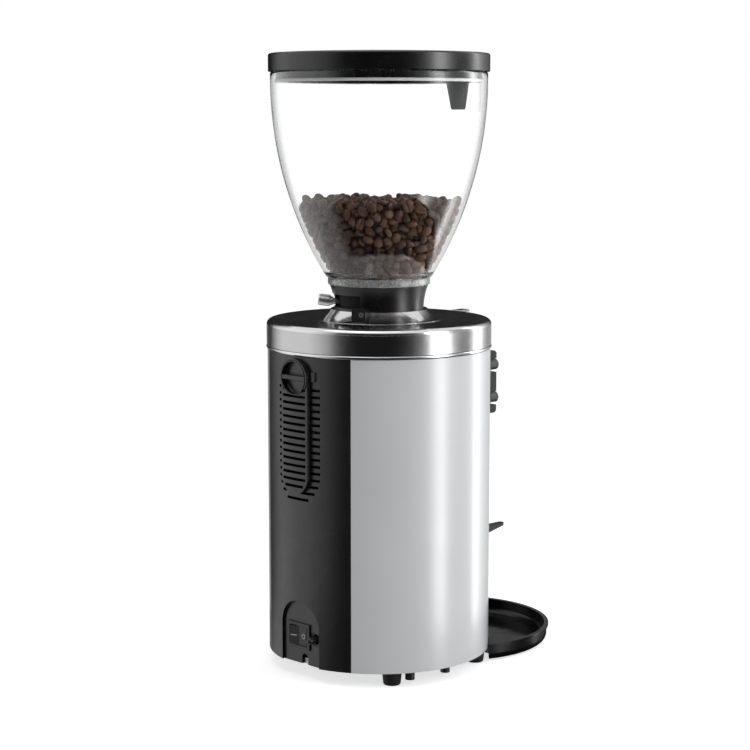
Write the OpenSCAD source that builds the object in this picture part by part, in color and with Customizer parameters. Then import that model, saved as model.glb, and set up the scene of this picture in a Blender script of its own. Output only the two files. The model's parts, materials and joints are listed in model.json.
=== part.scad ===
// Burr coffee grinder: round casing, glass bean hopper, portafilter fork and tray.
// Millimetres, +Z up, the front faces -Y. The origin lies on the counter, below
// the middle of the overall box. Heights named z_... are counted from the lower
// edge of the casing, and in_frame() lifts them by the height of the feet.

/* [Casing] */
// Outside diameter of the round casing
casing_d = 190; // [170:1:230]
// Height of the painted casing
casing_h = 260; // [250:1:300]
// Wall of the painted casing
casing_wall = 2; // [1.2:0.1:2.6]
// Half angle of the black rear panel, counted from the back
panel_half_angle = 31.2; // [28:0.1:38]
// Wall of the rear panel
panel_wall = 2.4; // [1.8:0.1:3]
// Gap between neighbouring covers
cover_gap = 0.3; // [0.15:0.05:0.6]
// How far the flat front wall lies behind the casing's round front
bay_inset = 23; // [19:0.5:25]
// Height of the casing above the portafilter bay
over_bay_h = 74; // [72:1:82]
// Thickness of the flat front wall
fascia_t = 2.5; // [2:0.1:4]

/* [Top trim] */
// Height of the polished bead above the casing
bead_h = 3.3; // [2.5:0.1:5]
// Height of the stainless band
band_h = 16.7; // [12:0.1:22]
// How far the band stands out from the casing
band_proud = 0.7; // [0.3:0.1:1.5]
// Wall of the stainless band
band_wall = 1.5; // [1:0.1:2.5]
// Height of the top plate's rolled rim
rim_h = 4.5; // [4:0.1:6]
// Thickness of the top plate
plate_t = 3; // [2:0.1:4]
// Radius of the top plate's neck at its foot
neck_foot_r = 55; // [52:0.5:60]
// Radius of the top plate's neck at its top
neck_top_r = 41; // [40:0.5:44]
// Height of the neck above the plate
neck_h = 8.5; // [7:0.5:11]
// Radius of the hollow curve of the neck
neck_curve_r = 30; // [24:1:40]

/* [Hopper collar] */
// Outside radius of the black collar at its foot
collar_foot_r = 38; // [37.2:0.1:40]
// Outside radius of the collar at its top edge
collar_top_r = 42; // [41.5:0.1:44]
// Height of the collar
collar_h = 20.5; // [19:0.5:24]
// Height of the slot that the grind lever travels in
slot_h = 11; // [9.8:0.1:12]
// Slot's first end, as an angle from +X
slot_from = 34; // [30:1:35]
// Slot's last end, as an angle from +X
slot_to = 112; // [104:1:114]
// Grind lever's angle from +X at its finest setting
lever_angle = 40.5; // [40:0.5:44]
// Diameter of the lever's knob
lever_knob_d = 9.8; // [8:0.1:10.5]
// Length of the lever's knob
lever_knob_l = 9.8; // [8:0.1:14]
// Upward tilt of the lever
lever_tilt = 7; // [0:0.5:8]

/* [Glass hopper] */
// Outside radius of the glass where the bowl starts
bowl_foot_r = 44.5; // [44:0.1:50]
// Outside radius of the glass at its widest
bowl_top_r = 91.2; // [80:0.1:100]
// Height of the bowl's curved wall
bowl_h = 165.5; // [120:0.5:200]
// Wall of the glass
glass_t = 3.2; // [2.5:0.1:4.5]
// Height of the thick glass foot
glass_foot_h = 6; // [4:0.5:9]
// Height of the glass rim
glass_rim_h = 6; // [4:0.5:8]
// Depth of beans in the hopper
bean_depth = 63; // [30:1:110]

/* [Lid] */
// Height of the lid's outside wall
lid_h = 15; // [10:0.5:25]
// How far the lid overhangs the glass
lid_overhang = 1.7; // [0.5:0.1:4]
// Thickness of the lid's wall and top
lid_wall = 2.4; // [1.8:0.1:3.5]
// Depth of the locating skirt inside the glass
lid_skirt = 8; // [5:0.5:12]
// Width of the hanging tab at its top
tab_w_top = 31; // [24:0.5:40]
// Width of the hanging tab at its tip
tab_w_tip = 20; // [12:0.5:30]
// Length of the hanging tab below the skirt
tab_l = 23; // [15:0.5:30]

/* [Rear ventilation] */
// Half width of the louvred zone of the panel
louvre_half_w = 24.4; // [22:0.1:28]
// Half width of the raised vent cover
vent_half_w = 15.5; // [15:0.1:17]
// How far the vent cover stands out from the panel
vent_proud = 4; // [3:0.1:6]
// Distance of the highest louvre below the casing's top
louvre_drop = 26.8; // [24:0.1:32]
// Distance between louvres
louvre_pitch = 5.745; // [5:0.005:8]
// Number of louvres
louvre_count = 17; // [8:1:17]
// Height of one louvre's opening
louvre_gap = 2.3; // [1.5:0.1:3]
// Distance of the latch knob's centre below the casing's top
latch_drop = 17.5; // [17:0.5:22]
// Radius of the dished latch knob
latch_r = 14.3; // [12:0.1:14.4]
// Depth of the dish in the latch knob
dish_depth = 5; // [3:0.1:6]
// Height of the finger bar across the dish
finger_bar_h = 5; // [3:0.1:7]

/* [Service recess] */
// Half width of the arched recess
recess_half_w = 22.5; // [22.4:0.1:25]
// Height of the top of the arch
recess_h = 54.4; // [50:0.1:65]
// Depth of the recess's floor behind the casing's back
recess_depth = 5; // [4:0.1:6.5]
// Sideways place of the power switch
switch_x = 3.7; // [2:0.1:5]
// Height of the power switch and the reset button
switch_z = 23.6; // [22:0.1:28]
// Width of the switch's frame
switch_w = 27; // [24:0.1:27.5]
// Height of the switch's frame
switch_h = 22; // [20:0.1:24]
// Tilt of the rocker to each side
rocker_tilt = 9; // [5:0.5:11]
// Sideways place of the reset button
reset_x = -16.2; // [-16.2:0.1:-15.8]
// Diameter of the reset button
reset_d = 6; // [5:0.1:6.5]
// Width of the outlet for the mains cord
cord_w = 7.3; // [6:0.1:9]
// Height of the outlet for the mains cord
cord_h = 9; // [7:0.1:10]
// Sideways place of the outlet for the mains cord
cord_x = -3.3; // [-5:0.1:3]

/* [Control pod] */
// Half width of the pod
pod_half_w = 39.8; // [38.5:0.1:44]
// How far the pod stands out from the casing
pod_depth = 11; // [9:0.5:17]
// Distance of the pod's upper edge below the casing's top
pod_drop = 9; // [6:0.5:12]
// Height of the pod
pod_h = 55; // [52:0.5:60]
// Diameter of a push button
button_d = 9.6; // [8:0.1:10.5]
// How far a push button stands out
button_proud = 7.2; // [5:0.1:10]
// Travel of a push button
button_travel = 1.5; // [0.8:0.1:1.7]
// Distance of the push buttons from the pod's sides
button_inset = 6.3; // [6.1:0.1:8]
// Height of the push button rows above and below the pod's middle
button_row = 14.5; // [12:0.1:18]

/* [Chute, fork and tray] */
// How far the middle of the chute's mouth lies in front of the casing
chute_reach = 11; // [5:0.5:15]
// Outside radius of the chute's mouth
chute_r = 14; // [12:0.5:16]
// Length of the chute below the bay's ceiling
chute_l = 38; // [31:1:46]
// Distance of the fork's flat top below the bay's ceiling
fork_drop = 93; // [80:0.5:105]
// How far the fork reaches out in front of the casing
fork_reach = 32; // [20:0.5:45]
// Half distance between the fork's arms
fork_half_gap = 27; // [24:0.5:30]
// Width of a fork arm
fork_arm_w = 6; // [4:0.5:8]
// Radius of the tray's rim
tray_r = 87.6; // [80:0.1:95]
// How far the tray's centre lies behind the casing's round front
tray_setback = 3; // [-5:0.5:7]
// Height of the tray
tray_h = 15; // [12:0.5:19]
// Wall of the tray
tray_wall = 2; // [1.5:0.1:3]

/* [Base] */
// Height of the rubber feet
foot_h = 12; // [10:0.5:18]
// Radius of a foot at its top
foot_r = 8.5; // [6:0.1:8.8]
// Thickness of the base plate
base_t = 5; // [4:0.5:8]

/* [Motor and burrs] */
// Radius of the motor's housing
motor_r = 58; // [54:0.5:59]
// Height of the motor's lower end above the casing's edge
motor_z = 34; // [32:0.5:38]
// Radius of the motor's shaft
shaft_r = 9; // [7:0.1:10]
// Radius of the flat burrs
burr_r = 32; // [28:0.5:34]
// Radius of the opening in the flat burrs
burr_bore_r = 18; // [14:0.5:20]
// Thickness of one burr
burr_t = 7.5; // [6:0.1:9]
// Gap between the burrs
burr_gap = 0.5; // [0.3:0.1:0.8]
// Teeth on each burr
burr_teeth = 24; // [12:1:36]

/* [Hidden] */

$fn = 96;
// Overlap that keeps cuts clean
eps = 0.5;
// Clearance of a shaft or pin that turns or slides
run = 0.05;
// Clearance of pieces that only sit together
sit = 0.2;

casing_r = casing_d / 2;
casing_in = casing_r - casing_wall;
panel_in = casing_r - panel_wall;
bay_depth = casing_r - bay_inset;
bay_h = casing_h - over_bay_h;

// Heights of the top trim
z_bead = casing_h;
z_band = z_bead + bead_h;
z_rim = z_band + band_h;
z_plate = z_rim + rim_h;
z_neck = z_plate + neck_h;
band_r = casing_r + band_proud;

// Bore of the neck and the collar, and the ring that turns inside
neck_bore_r = 34.2;
ring_out_r = neck_bore_r - 0.6;
ring_in_r = 26;
z_collar_top = z_neck + collar_h;
z_slot = z_neck + 2;
z_ledge = z_collar_top - 7.2;

// Glass
z_glass = z_collar_top + sit;
z_bowl = z_glass + glass_foot_h;
bowl_swell = bowl_top_r - bowl_foot_r;
bowl_arc_r = (bowl_h * bowl_h + bowl_swell * bowl_swell) / (2 * bowl_swell);
z_bowl_top = z_bowl + bowl_h;
z_glass_top = z_bowl_top + glass_rim_h;
glass_neck_r = neck_bore_r + 0.8;
glass_throat_r = glass_neck_r - glass_t;

// Lumps of the beans' surface
lump_r = 10;
lump_rise = 5;
lump_spacing = 22;

// Lid
z_lid = z_glass_top + cover_gap;
lid_r = bowl_top_r + lid_overhang;
skirt_r = bowl_top_r - glass_t - 1.5;

// Louvres and the vent cover
louvre_z = casing_h - louvre_drop;
latch_z = casing_h - latch_drop;
vent_r = casing_r + vent_proud;
z_louvre_end = louvre_z - louvre_pitch * (louvre_count - 1);
vent_border = 2;
latch_face = vent_r + 0.5;
latch_floor = casing_r - 6.8;
cup_wall = 1.1;
cup_bore_r = latch_r + cover_gap;

// Service recess
recess_floor = casing_r - recess_depth;
recess_wall = 2;
recess_back = recess_floor - recess_wall;
z_arch = recess_h - recess_half_w;
switch_cut_w = switch_w - 3;
switch_cut_h = switch_h - 3;
switch_t = 1;
rocker_pin_r = 1.5;
rocker_pivot = recess_floor - 3.6;
reset_hole_r = 5.7;

// Pod
pod_face = casing_r + pod_depth;
pod_z = casing_h - pod_drop - pod_h;
pod_mid = pod_z + pod_h / 2;
pod_wall = 2.5;
board_y = casing_r - 3;
board_t = 1.6;
button_floor = pod_face - 7.5;
button_floor_t = 2.5;
plunger_y = button_floor - button_floor_t - 0.6;
stem_r = 2;
button_x = pod_half_w - button_inset;
button_places = [
    [-button_x, pod_mid + button_row], [button_x, pod_mid + button_row],
    [-button_x, pod_mid - button_row], [button_x, pod_mid - button_row]
];
display_w = 36;
display_h = 24;
display_t = 1.8;
plate_half_w = 24;

// Chute, fork and tray
chute_mouth = casing_r + chute_reach;
chute_z = bay_h - chute_l;
fork_z = bay_h - fork_drop;
fork_tip = casing_r + fork_reach;
fork_screw_r = 2.5;
fork_screw_x = 14;
fork_screw_z = fork_z - 10;
tray_centre = casing_r - tray_setback;
duct_half_w = 14;
duct_wall = 2;
chute_wall = 2;
chute_lip_h = 8;
duct_front = board_y - 3;
duct_back = bay_depth + 2;

// Grinding chamber, from the top plate down to the motor
carrier_t = 7;
upper_carrier_h = 29.5;
ring_drop = 23.5;
chamber_foot_h = 54;
z_carrier_top = z_plate - plate_t - ring_drop;
z_burr_top = z_carrier_top - upper_carrier_h;
z_burr = z_burr_top - 2 * burr_t - burr_gap;
z_carrier = z_burr - carrier_t;
z_chamber_floor = z_carrier - 2;
duct_z = z_carrier + 1;
duct_inside_h = 20;
z_bearing = z_chamber_floor - 18;
z_flange = z_chamber_floor - chamber_foot_h;
bearing_r = 2 * shaft_r;
bearing_h = 11.8;
chamber_in_r = burr_r + 9;
chamber_out_r = chamber_in_r + 7;
journal_r = shaft_r - 3;
flange_t = 6;
tie_screw_r = (ring_out_r + chamber_in_r) / 2;

// Motor: its housing fills the height below the chamber
end_plate_t = 6;
housing_wall = 4;
z_housing = motor_z + end_plate_t;
motor_h = z_flange - z_housing;
motor_in_r = motor_r - housing_wall;
stator_w = 21;
stator_bore_r = motor_in_r - stator_w;
coil_space = 22;
burr_screw_r = burr_bore_r + (burr_r - burr_bore_r) * 0.55;
tooth_depth = 2.2;
tooth_w = 1.9;
screw_r = 2;
head_r = 3.4;
head_h = 1.8;
head_pocket = 3.4;
post_r = motor_r - 6;
bolt_r = chamber_out_r + 5.2;

// Feet and bolts: places in the plane, by their distance inside the casing's
// outside and their angle from +X
function at_edge(inset, angle) = (casing_r - inset) * [cos(angle), sin(angle)];
foot_places = [at_edge(11.857, 37.229), at_edge(11.857, 142.771),
               at_edge(10.659, -35.103), at_edge(10.659, -144.897)];
bolt_places = [at_edge(9.577, 27.165), at_edge(9.577, 152.835),
               at_edge(12.945, 2.095), at_edge(12.945, 177.905)];
base_r = panel_in - sit;

// Overall depth, which sets the casing's axis behind the origin
tray_front = tray_centre + tray_r;
back_end = latch_face;
axis_y = (tray_front - back_end) / 2;

// Colours
painted_white = [0.90, 0.91, 0.92];
satin_black = [0.10, 0.10, 0.11];
steel = [0.72, 0.73, 0.75];
dark_steel = [0.32, 0.32, 0.34];
cast_metal = [0.62, 0.63, 0.65];
rubber_black = [0.06, 0.06, 0.06];
copper = [0.72, 0.42, 0.22];
clear_glass = [0.85, 0.92, 0.93, 0.35];

// ---------------------------------------------------------------- helpers

module in_frame() {
    translate([0, axis_y, foot_h]) children();
}

// Hollow cylinder from z1 to z2
module tube(r_out, r_in, z1, z2) {
    translate([0, 0, z1]) difference() {
        cylinder(r = r_out, h = z2 - z1);
        translate([0, 0, -eps]) cylinder(r = r_in, h = z2 - z1 + 2 * eps);
    }
}

// Block between two corners
module block(a, b) {
    translate(a) cube(b - a);
}

// Upright wedge about +Y, with the given half angle
module rear_wedge(half, z1, z2) {
    reach = 2 * casing_r;
    side = reach * tan(half);
    translate([0, 0, z1]) linear_extrude(z2 - z1)
        polygon([[0, 0], [side, reach], [-side, reach]]);
}

// Cylinder that lies along +Y from y1 to y2
module rod_y(r, x, z, y1, y2) {
    translate([x, y1, z]) rotate([-90, 0, 0]) cylinder(r = r, h = y2 - y1);
}

// Prism along +Y of an upright outline, given in x and z
module prism_y(y1, y2) {
    translate([0, y2, 0]) rotate([90, 0, 0]) linear_extrude(y2 - y1) children();
}

// Outline of the space in front of the flat front wall
module bay_cut(grow, z1, z2) {
    block([-casing_r, -2 * casing_r, z1], [casing_r, -bay_depth + grow, z2]);
}

// ---------------------------------------------------------------- casing

module body_shell() {
    seam = panel_half_angle + asin(cover_gap / casing_r);
    color(painted_white) in_frame() difference() {
        tube(casing_r, casing_in, 0, casing_h);
        rear_wedge(seam, -eps, casing_h + eps);
        bay_cut(0, -eps, bay_h);
        block([-pod_half_w + 9, -casing_r - eps, pod_z + pod_wall],
              [pod_half_w - 9, -casing_r / 2, pod_z + pod_h - pod_wall]);
    }
}

module recess_outline(grow) {
    translate([0, z_arch]) circle(r = recess_half_w + grow);
    translate([-recess_half_w - grow, -eps])
        square([2 * (recess_half_w + grow), z_arch + eps]);
}

// Louvres that end on a round-bottomed outline
module louvre_slots(half_w, z_end, y1, y2) {
    for (i = [0 : louvre_count - 1]) {
        z = louvre_z - louvre_pitch * i;
        drop = max(0, z_end + half_w - z);
        if (drop < half_w)
            let (w = sqrt(half_w * half_w - drop * drop))
            block([-w, y1, z - louvre_gap / 2], [w, y2, z + louvre_gap / 2]);
    }
}

module cord_outlet(y1, y2) {
    prism_y(y1, y2) {
        translate([cord_x, cord_h - cord_w / 2]) circle(d = cord_w);
        translate([cord_x - cord_w / 2, -eps]) square([cord_w, cord_h - cord_w / 2 + eps]);
    }
}

module rear_panel() {
    lug_x = 18.9;
    lug_w = 3.6;
    lug_h = 7.5;
    lug_z = latch_z - 2;
    color(satin_black) in_frame() difference() {
        union() {
            intersection() {
                tube(casing_r, panel_in, 0, casing_h);
                rear_wedge(panel_half_angle, -eps, casing_h + eps);
            }
            intersection() {
                cylinder(r = casing_r, h = recess_h + recess_wall);
                prism_y(recess_back, casing_r) recess_outline(recess_wall);
            }
            for (side = [-1, 1])
                intersection() {
                    tube(casing_r + 1.6, panel_in, lug_z, lug_z + lug_h);
                    block([side * lug_x - lug_w / 2, 0, lug_z],
                          [side * lug_x + lug_w / 2, 2 * casing_r, lug_z + lug_h]);
                }
        }
        prism_y(recess_floor, 2 * casing_r) recess_outline(0);
        block([-casing_r, 0, -2 * eps], [casing_r, 2 * casing_r, 0]);
        louvre_slots(louvre_half_w, z_louvre_end - 3.6, panel_in - 10, casing_r + eps);
        rod_y(cup_bore_r + cup_wall + sit, 0, latch_z, panel_in - 10, casing_r + eps);
        block([switch_x - switch_cut_w / 2, recess_back - eps, switch_z - switch_cut_h / 2],
              [switch_x + switch_cut_w / 2, casing_r, switch_z + switch_cut_h / 2]);
        rod_y(reset_hole_r, reset_x, switch_z, recess_back - eps, casing_r);
        cord_outlet(recess_back - eps, casing_r);
    }
}

// Raised stadium with the latch's round cup at its top
module vent_cover() {
    z_low = z_louvre_end + 3.9 + vent_half_w;
    cup_r = cup_bore_r + cup_wall;
    color(satin_black) in_frame() difference() {
        union() {
            intersection() {
                tube(vent_r, casing_r + run, z_low - vent_half_w, latch_z + vent_half_w);
                prism_y(0, 2 * casing_r) {
                    translate([0, z_low]) circle(r = vent_half_w);
                    translate([0, latch_z]) circle(r = vent_half_w);
                    translate([-vent_half_w, z_low])
                        square([2 * vent_half_w, latch_z - z_low]);
                }
            }
            rod_y(cup_r, 0, latch_z, latch_floor - 2, vent_r);
        }
        louvre_slots(vent_half_w - vent_border, z_low - vent_half_w + vent_border,
                     casing_r - 1, vent_r + eps);
        rod_y(cup_bore_r, 0, latch_z, latch_floor, vent_r + eps);
        rod_y(4 + run, 0, latch_z, latch_floor - 2 - eps, latch_floor + eps);
    }
}

// Quarter-turn knob: a dish with a finger bar, on a spindle with a cam
module vent_latch() {
    dish_r = latch_r - 1.2;
    ball_r = (dish_r * dish_r + dish_depth * dish_depth) / (2 * dish_depth);
    cam_y = latch_floor - 2 - cover_gap;
    color(satin_black) in_frame() {
        difference() {
            rod_y(latch_r, 0, latch_z, latch_floor + cover_gap, latch_face);
            difference() {
                translate([0, latch_face + ball_r - dish_depth, latch_z]) sphere(r = ball_r);
                block([-latch_r, 0, latch_z - finger_bar_h / 2],
                      [latch_r, 2 * casing_r, latch_z + finger_bar_h / 2]);
            }
        }
        rod_y(4, 0, latch_z, cam_y - 2, latch_floor + cover_gap + eps);
        block([-3, cam_y - 2, latch_z - 12], [3, cam_y, latch_z + 12]);
    }
}

// Flat front wall with the ceiling of the bay
module front_fascia() {
    r = casing_in - sit;
    color(satin_black) in_frame() difference() {
        union() {
            intersection() {
                cylinder(r = r, h = bay_h);
                block([-casing_r, -bay_depth, 0], [casing_r, -bay_depth + fascia_t, bay_h]);
            }
            intersection() {
                translate([0, 0, bay_h]) cylinder(r = r, h = fascia_t);
                block([-casing_r, -casing_r, bay_h],
                      [casing_r, -bay_depth + fascia_t, bay_h + fascia_t]);
            }
        }
        block([-duct_half_w + duct_wall, -duct_front + duct_wall, bay_h - eps],
              [duct_half_w - duct_wall, -duct_back - duct_wall, bay_h + fascia_t + eps]);
        for (side = [-1, 1])
            rod_y(fork_screw_r + run, side * fork_screw_x, fork_screw_z,
                  -bay_depth - eps, -bay_depth + fascia_t + eps);
    }
}

// ---------------------------------------------------------------- top trim

module trim_bead() {
    bead_r = bead_h / 2;
    color(steel) in_frame() rotate_extrude() {
        translate([casing_r - 0.6, z_bead + bead_r]) circle(r = bead_r);
        translate([casing_in - 1, z_bead]) square([casing_wall + 0.4, bead_h]);
    }
}

module top_band() {
    color(steel) in_frame() tube(band_r, band_r - band_wall, z_band, z_rim);
}

// Solid of the polished neck, which the lock block also sits on
module neck_profile(grow) {
    chord = [neck_foot_r - neck_top_r, neck_h];
    half = norm(chord) / 2;
    lean = atan2(chord[1], chord[0]);
    rise = sqrt(neck_curve_r * neck_curve_r - half * half);
    mid = [(neck_foot_r + neck_top_r) / 2, (z_plate + z_neck) / 2];
    difference() {
        translate([0, z_plate - plate_t])
            square([neck_foot_r + grow, plate_t + neck_h + grow]);
        translate(mid + rise * [sin(lean), cos(lean)]) circle(r = neck_curve_r - grow, $fn = 180);
        translate([neck_foot_r - eps, z_plate + grow]) square([10, 10]);
    }
}

module top_plate() {
    edge_r = rim_h;
    color(dark_steel) in_frame() rotate_extrude() difference() {
        union() {
            translate([0, z_plate - plate_t]) square([band_r - edge_r, plate_t]);
            intersection() {
                translate([band_r - edge_r, z_rim]) circle(r = edge_r);
                translate([band_r - edge_r, z_rim]) square(edge_r);
            }
            neck_profile(0);
        }
        translate([band_r - band_wall - edge_r, z_rim - eps]) square([edge_r, eps + rim_h - plate_t]);
        square([neck_bore_r, 2 * z_neck]);
    }
}

// Small flat tab at the front of the top plate
module front_tab() {
    tab_w = 9;
    reach = 13;
    color(steel) in_frame() difference() {
        union() {
            block([-tab_w / 2, -band_r - 2, z_rim - 12], [tab_w / 2, -band_r, z_plate]);
            block([-tab_w / 2, -band_r - reach, z_plate - 2], [tab_w / 2, -band_r - 1, z_plate]);
        }
        cylinder(r = band_r + run, h = 2 * z_plate);
    }
}

// ---------------------------------------------------------------- collar and lever

module hopper_collar() {
    flare = collar_top_r - collar_foot_r;
    flare_r = (collar_h * collar_h + flare * flare) / (2 * flare);
    color(satin_black) in_frame() difference() {
        rotate_extrude() difference() {
            translate([neck_bore_r, z_neck]) square([collar_top_r - neck_bore_r, collar_h]);
            translate([collar_foot_r + flare_r, z_neck]) circle(r = flare_r, $fn = 180);
            translate([0, z_ledge]) square([glass_neck_r + sit, collar_h]);
        }
        rotate([0, 0, slot_from]) rotate_extrude(angle = slot_to - slot_from)
            translate([neck_bore_r - 2, z_slot]) square([12, slot_h]);
    }
}

// Moves its children to the lever's line: +X along the lever, from the ring's axis
module on_lever() {
    pivot = [collar_foot_r, 0, z_slot + slot_h / 2 - 2];
    rotate([0, 0, lever_angle]) translate(pivot) rotate([0, -lever_tilt, 0])
        rotate([0, 90, 0]) children();
}

module adjust_ring() {
    lever_hole = collar_foot_r - ring_in_r;
    color(cast_metal) in_frame() difference() {
        union() {
            tube(ring_out_r, ring_in_r, z_carrier_top, z_ledge - 0.4);
            tube(chamber_in_r - 0.5, ring_in_r, z_carrier_top, z_carrier_top + flange_t);
        }
        on_lever() translate([0, 0, -lever_hole]) cylinder(r = 2.5 + run, h = 2 * lever_hole);
        for (a = [0, 120, 240])
            rotate([0, 0, a]) translate([tie_screw_r, 0, z_carrier_top - eps])
                cylinder(r = 1.6, h = flange_t + 2 * eps);
    }
}

module ring_screws() {
    color(steel) in_frame() for (a = [0, 120, 240])
        rotate([0, 0, a]) translate([tie_screw_r, 0, z_carrier_top]) {
            translate([0, 0, -8]) cylinder(r = 1.5, h = 8 + flange_t);
            translate([0, 0, flange_t]) cylinder(r = 2.8, h = 2);
        }
}

module adjust_lever() {
    knob_r = lever_knob_d / 2;
    color(steel) in_frame() on_lever() {
        translate([0, 0, -11]) cylinder(r = 2.5, h = 15);
        translate([0, 0, 1.4]) cylinder(r = 3.7, h = 2.2);
        translate([0, 0, 3.4]) cylinder(r = knob_r - 0.8, h = 1);
        translate([0, 0, 4]) rotate_extrude() {
            square([knob_r - 1.2, lever_knob_l]);
            square([knob_r, lever_knob_l - 1.2]);
            translate([knob_r - 1.2, lever_knob_l - 1.2]) circle(r = 1.2, $fn = 48);
        }
    }
}

// Clamp block under the collar's edge, on the neck
module lock_block() {
    w = 12;
    color(satin_black) in_frame() rotate([0, 0, slot_to + 3.5]) difference() {
        block([collar_foot_r + 0.5, -w / 2, z_plate + 2], [neck_foot_r - 4.5, w / 2, z_neck + 4]);
        rotate_extrude() neck_profile(0.05);
        translate([neck_foot_r - 12, 2.6, z_plate + 7.4]) rotate([0, 90, 0])
            cylinder(r = 2 + run, h = 12);
    }
}

module lock_screw() {
    color(steel) in_frame() rotate([0, 0, slot_to + 3.5])
        translate([neck_foot_r - 9, 2.6, z_plate + 7.4]) rotate([0, 90, 0]) difference() {
            cylinder(r = 2, h = 5.1);
            translate([0, 0, 3]) cylinder(r = 1.1, h = 3, $fn = 6);
        }
}

// ---------------------------------------------------------------- glass, beans and lid

// Outline of the bowl, moved inwards by t
module bowl_outline(t) {
    intersection() {
        translate([bowl_top_r - bowl_arc_r, z_bowl_top]) circle(r = bowl_arc_r - t, $fn = 360);
        translate([0, z_bowl]) square([bowl_top_r, bowl_h]);
    }
}

module hopper_glass() {
    foot_out_r = bowl_foot_r - 1;
    color(clear_glass) in_frame() rotate_extrude() difference() {
        union() {
            bowl_outline(0);
            translate([0, z_glass]) square([foot_out_r, glass_foot_h + 1]);
            translate([0, z_ledge + sit]) square([glass_neck_r, z_glass - z_ledge]);
            translate([bowl_top_r - glass_t, z_bowl_top - eps]) square([glass_t, glass_rim_h - 1 + eps]);
            translate([bowl_top_r - glass_t / 2, z_glass_top - glass_t / 2])
                circle(r = glass_t / 2, $fn = 48);
        }
        bowl_outline(glass_t);
        translate([0, z_ledge - eps]) square([glass_throat_r, z_bowl - z_ledge + 4]);
        translate([0, z_bowl_top - 0.01]) square([bowl_top_r - glass_t, glass_rim_h + 1]);
    }
}

// Inner radius of the bowl at height z, moved inwards by t
function bowl_x(z, t) = bowl_top_r - bowl_arc_r
    + sqrt(pow(bowl_arc_r - t, 2) - pow(z_bowl_top - z, 2));

// Ring of round lumps, about one spacing apart
module lump_ring(r, z) {
    count = max(1, floor(2 * PI * r / lump_spacing));
    for (i = [0 : count - 1])
        rotate([0, 0, (i + (z % 2) / 2) * 360 / count]) translate([r, 0, z]) sphere(r = lump_r);
}

// Loose beans: one solid of their heap, lumpy against the glass and on top
module bean_fill() {
    z_beans = z_bowl + bean_depth;
    crown = 4;
    heap_r = bowl_top_r / 2;
    crown_r = (heap_r * heap_r + crown * crown) / (2 * crown);
    slack = glass_t + 0.4;
    rows = floor((bean_depth - lump_r) / lump_spacing);
    color([0.24, 0.16, 0.12]) in_frame() {
        rotate_extrude() {
            intersection() {
                bowl_outline(slack + lump_rise);
                translate([0, z_beans + crown - lump_rise - crown_r])
                    circle(r = crown_r, $fn = 360);
            }
            translate([0, z_ledge + 2])
                square([glass_throat_r - 0.4, z_bowl - z_ledge + lump_rise]);
        }
        for (i = [0 : rows])
            let (z = z_bowl + lump_r + i * lump_spacing)
            lump_ring(bowl_x(z, slack + lump_r), z);
        for (r = [0 : lump_spacing : bowl_top_r - 2 * lump_spacing])
            lump_ring(r, z_beans + crown - lump_r - r * r / (2 * crown_r));
    }
}

module lid() {
    edge = 2;
    z_tab = z_glass_top - lid_skirt;
    color(satin_black) in_frame() {
        rotate_extrude() difference() {
            union() {
                translate([0, z_lid]) square([lid_r, lid_h - edge]);
                translate([0, z_lid]) square([lid_r - edge, lid_h]);
                translate([lid_r - edge, z_lid + lid_h - edge]) circle(r = edge, $fn = 48);
                translate([0, z_tab]) square([skirt_r, lid_skirt + edge]);
            }
            translate([0, z_tab - eps])
                square([skirt_r - lid_wall, lid_skirt + lid_h - lid_wall + eps]);
        }
        intersection() {
            tube(skirt_r, skirt_r - lid_wall, z_tab - tab_l, z_tab + 1);
            prism_y(-casing_r, -casing_r / 2)
                polygon([[-tab_w_tip / 2, z_tab - tab_l], [tab_w_tip / 2, z_tab - tab_l],
                         [tab_w_top / 2, z_tab + 1], [-tab_w_top / 2, z_tab + 1]]);
        }
    }
}

// ---------------------------------------------------------------- pod and buttons

module pod_bay(place) {
    r = button_d / 2 + 1.2;
    side = sign(place[0]);
    rod_y(r, place[0], place[1], -pod_face - eps, -button_floor);
    block([min(place[0], side * casing_r), -pod_face - eps, place[1] - r],
          [max(place[0], side * casing_r), -button_floor, place[1] + r]);
    rod_y(stem_r + run, place[0], place[1], -button_floor - eps, -button_floor + button_floor_t + eps);
}

module control_pod() {
    bevel = 2;
    z1 = pod_z;
    z2 = pod_z + pod_h;
    back = casing_r * cos(asin(pod_half_w / casing_r)) - 1;
    cavity = -button_floor + button_floor_t;
    boss_r = 2.5;
    boss_inset = 6.5;
    face_t = 3.5;
    color(satin_black) in_frame() {
        // Bosses that the control board rests on
        for (x = [-1, 1], z = [-1, 1])
            rod_y(boss_r, x * (pod_half_w - boss_inset), pod_mid + z * (pod_h / 2 - boss_inset),
                  cavity - eps, -board_y);
        difference() {
            translate([-pod_half_w, 0, 0]) rotate([90, 0, 90]) linear_extrude(2 * pod_half_w)
                polygon([[-back, z1], [-pod_face + bevel, z1], [-pod_face, z1 + bevel],
                         [-pod_face, z2 - bevel], [-pod_face + bevel, z2], [-back, z2]]);
            cylinder(r = casing_r + run, h = 2 * casing_h);
            block([-pod_half_w + pod_wall, cavity, z1 + pod_wall],
                  [pod_half_w - pod_wall, 0, z2 - pod_wall]);
            block([-plate_half_w, -pod_face + face_t, z1 + 6],
                  [plate_half_w, cavity + eps, z2 - 6]);
            block([-display_w / 2, -pod_face - eps, pod_mid - display_h / 2],
                  [display_w / 2, -pod_face + display_t, pod_mid + display_h / 2]);
            for (place = button_places) pod_bay(place);
        }
    }
}

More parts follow.
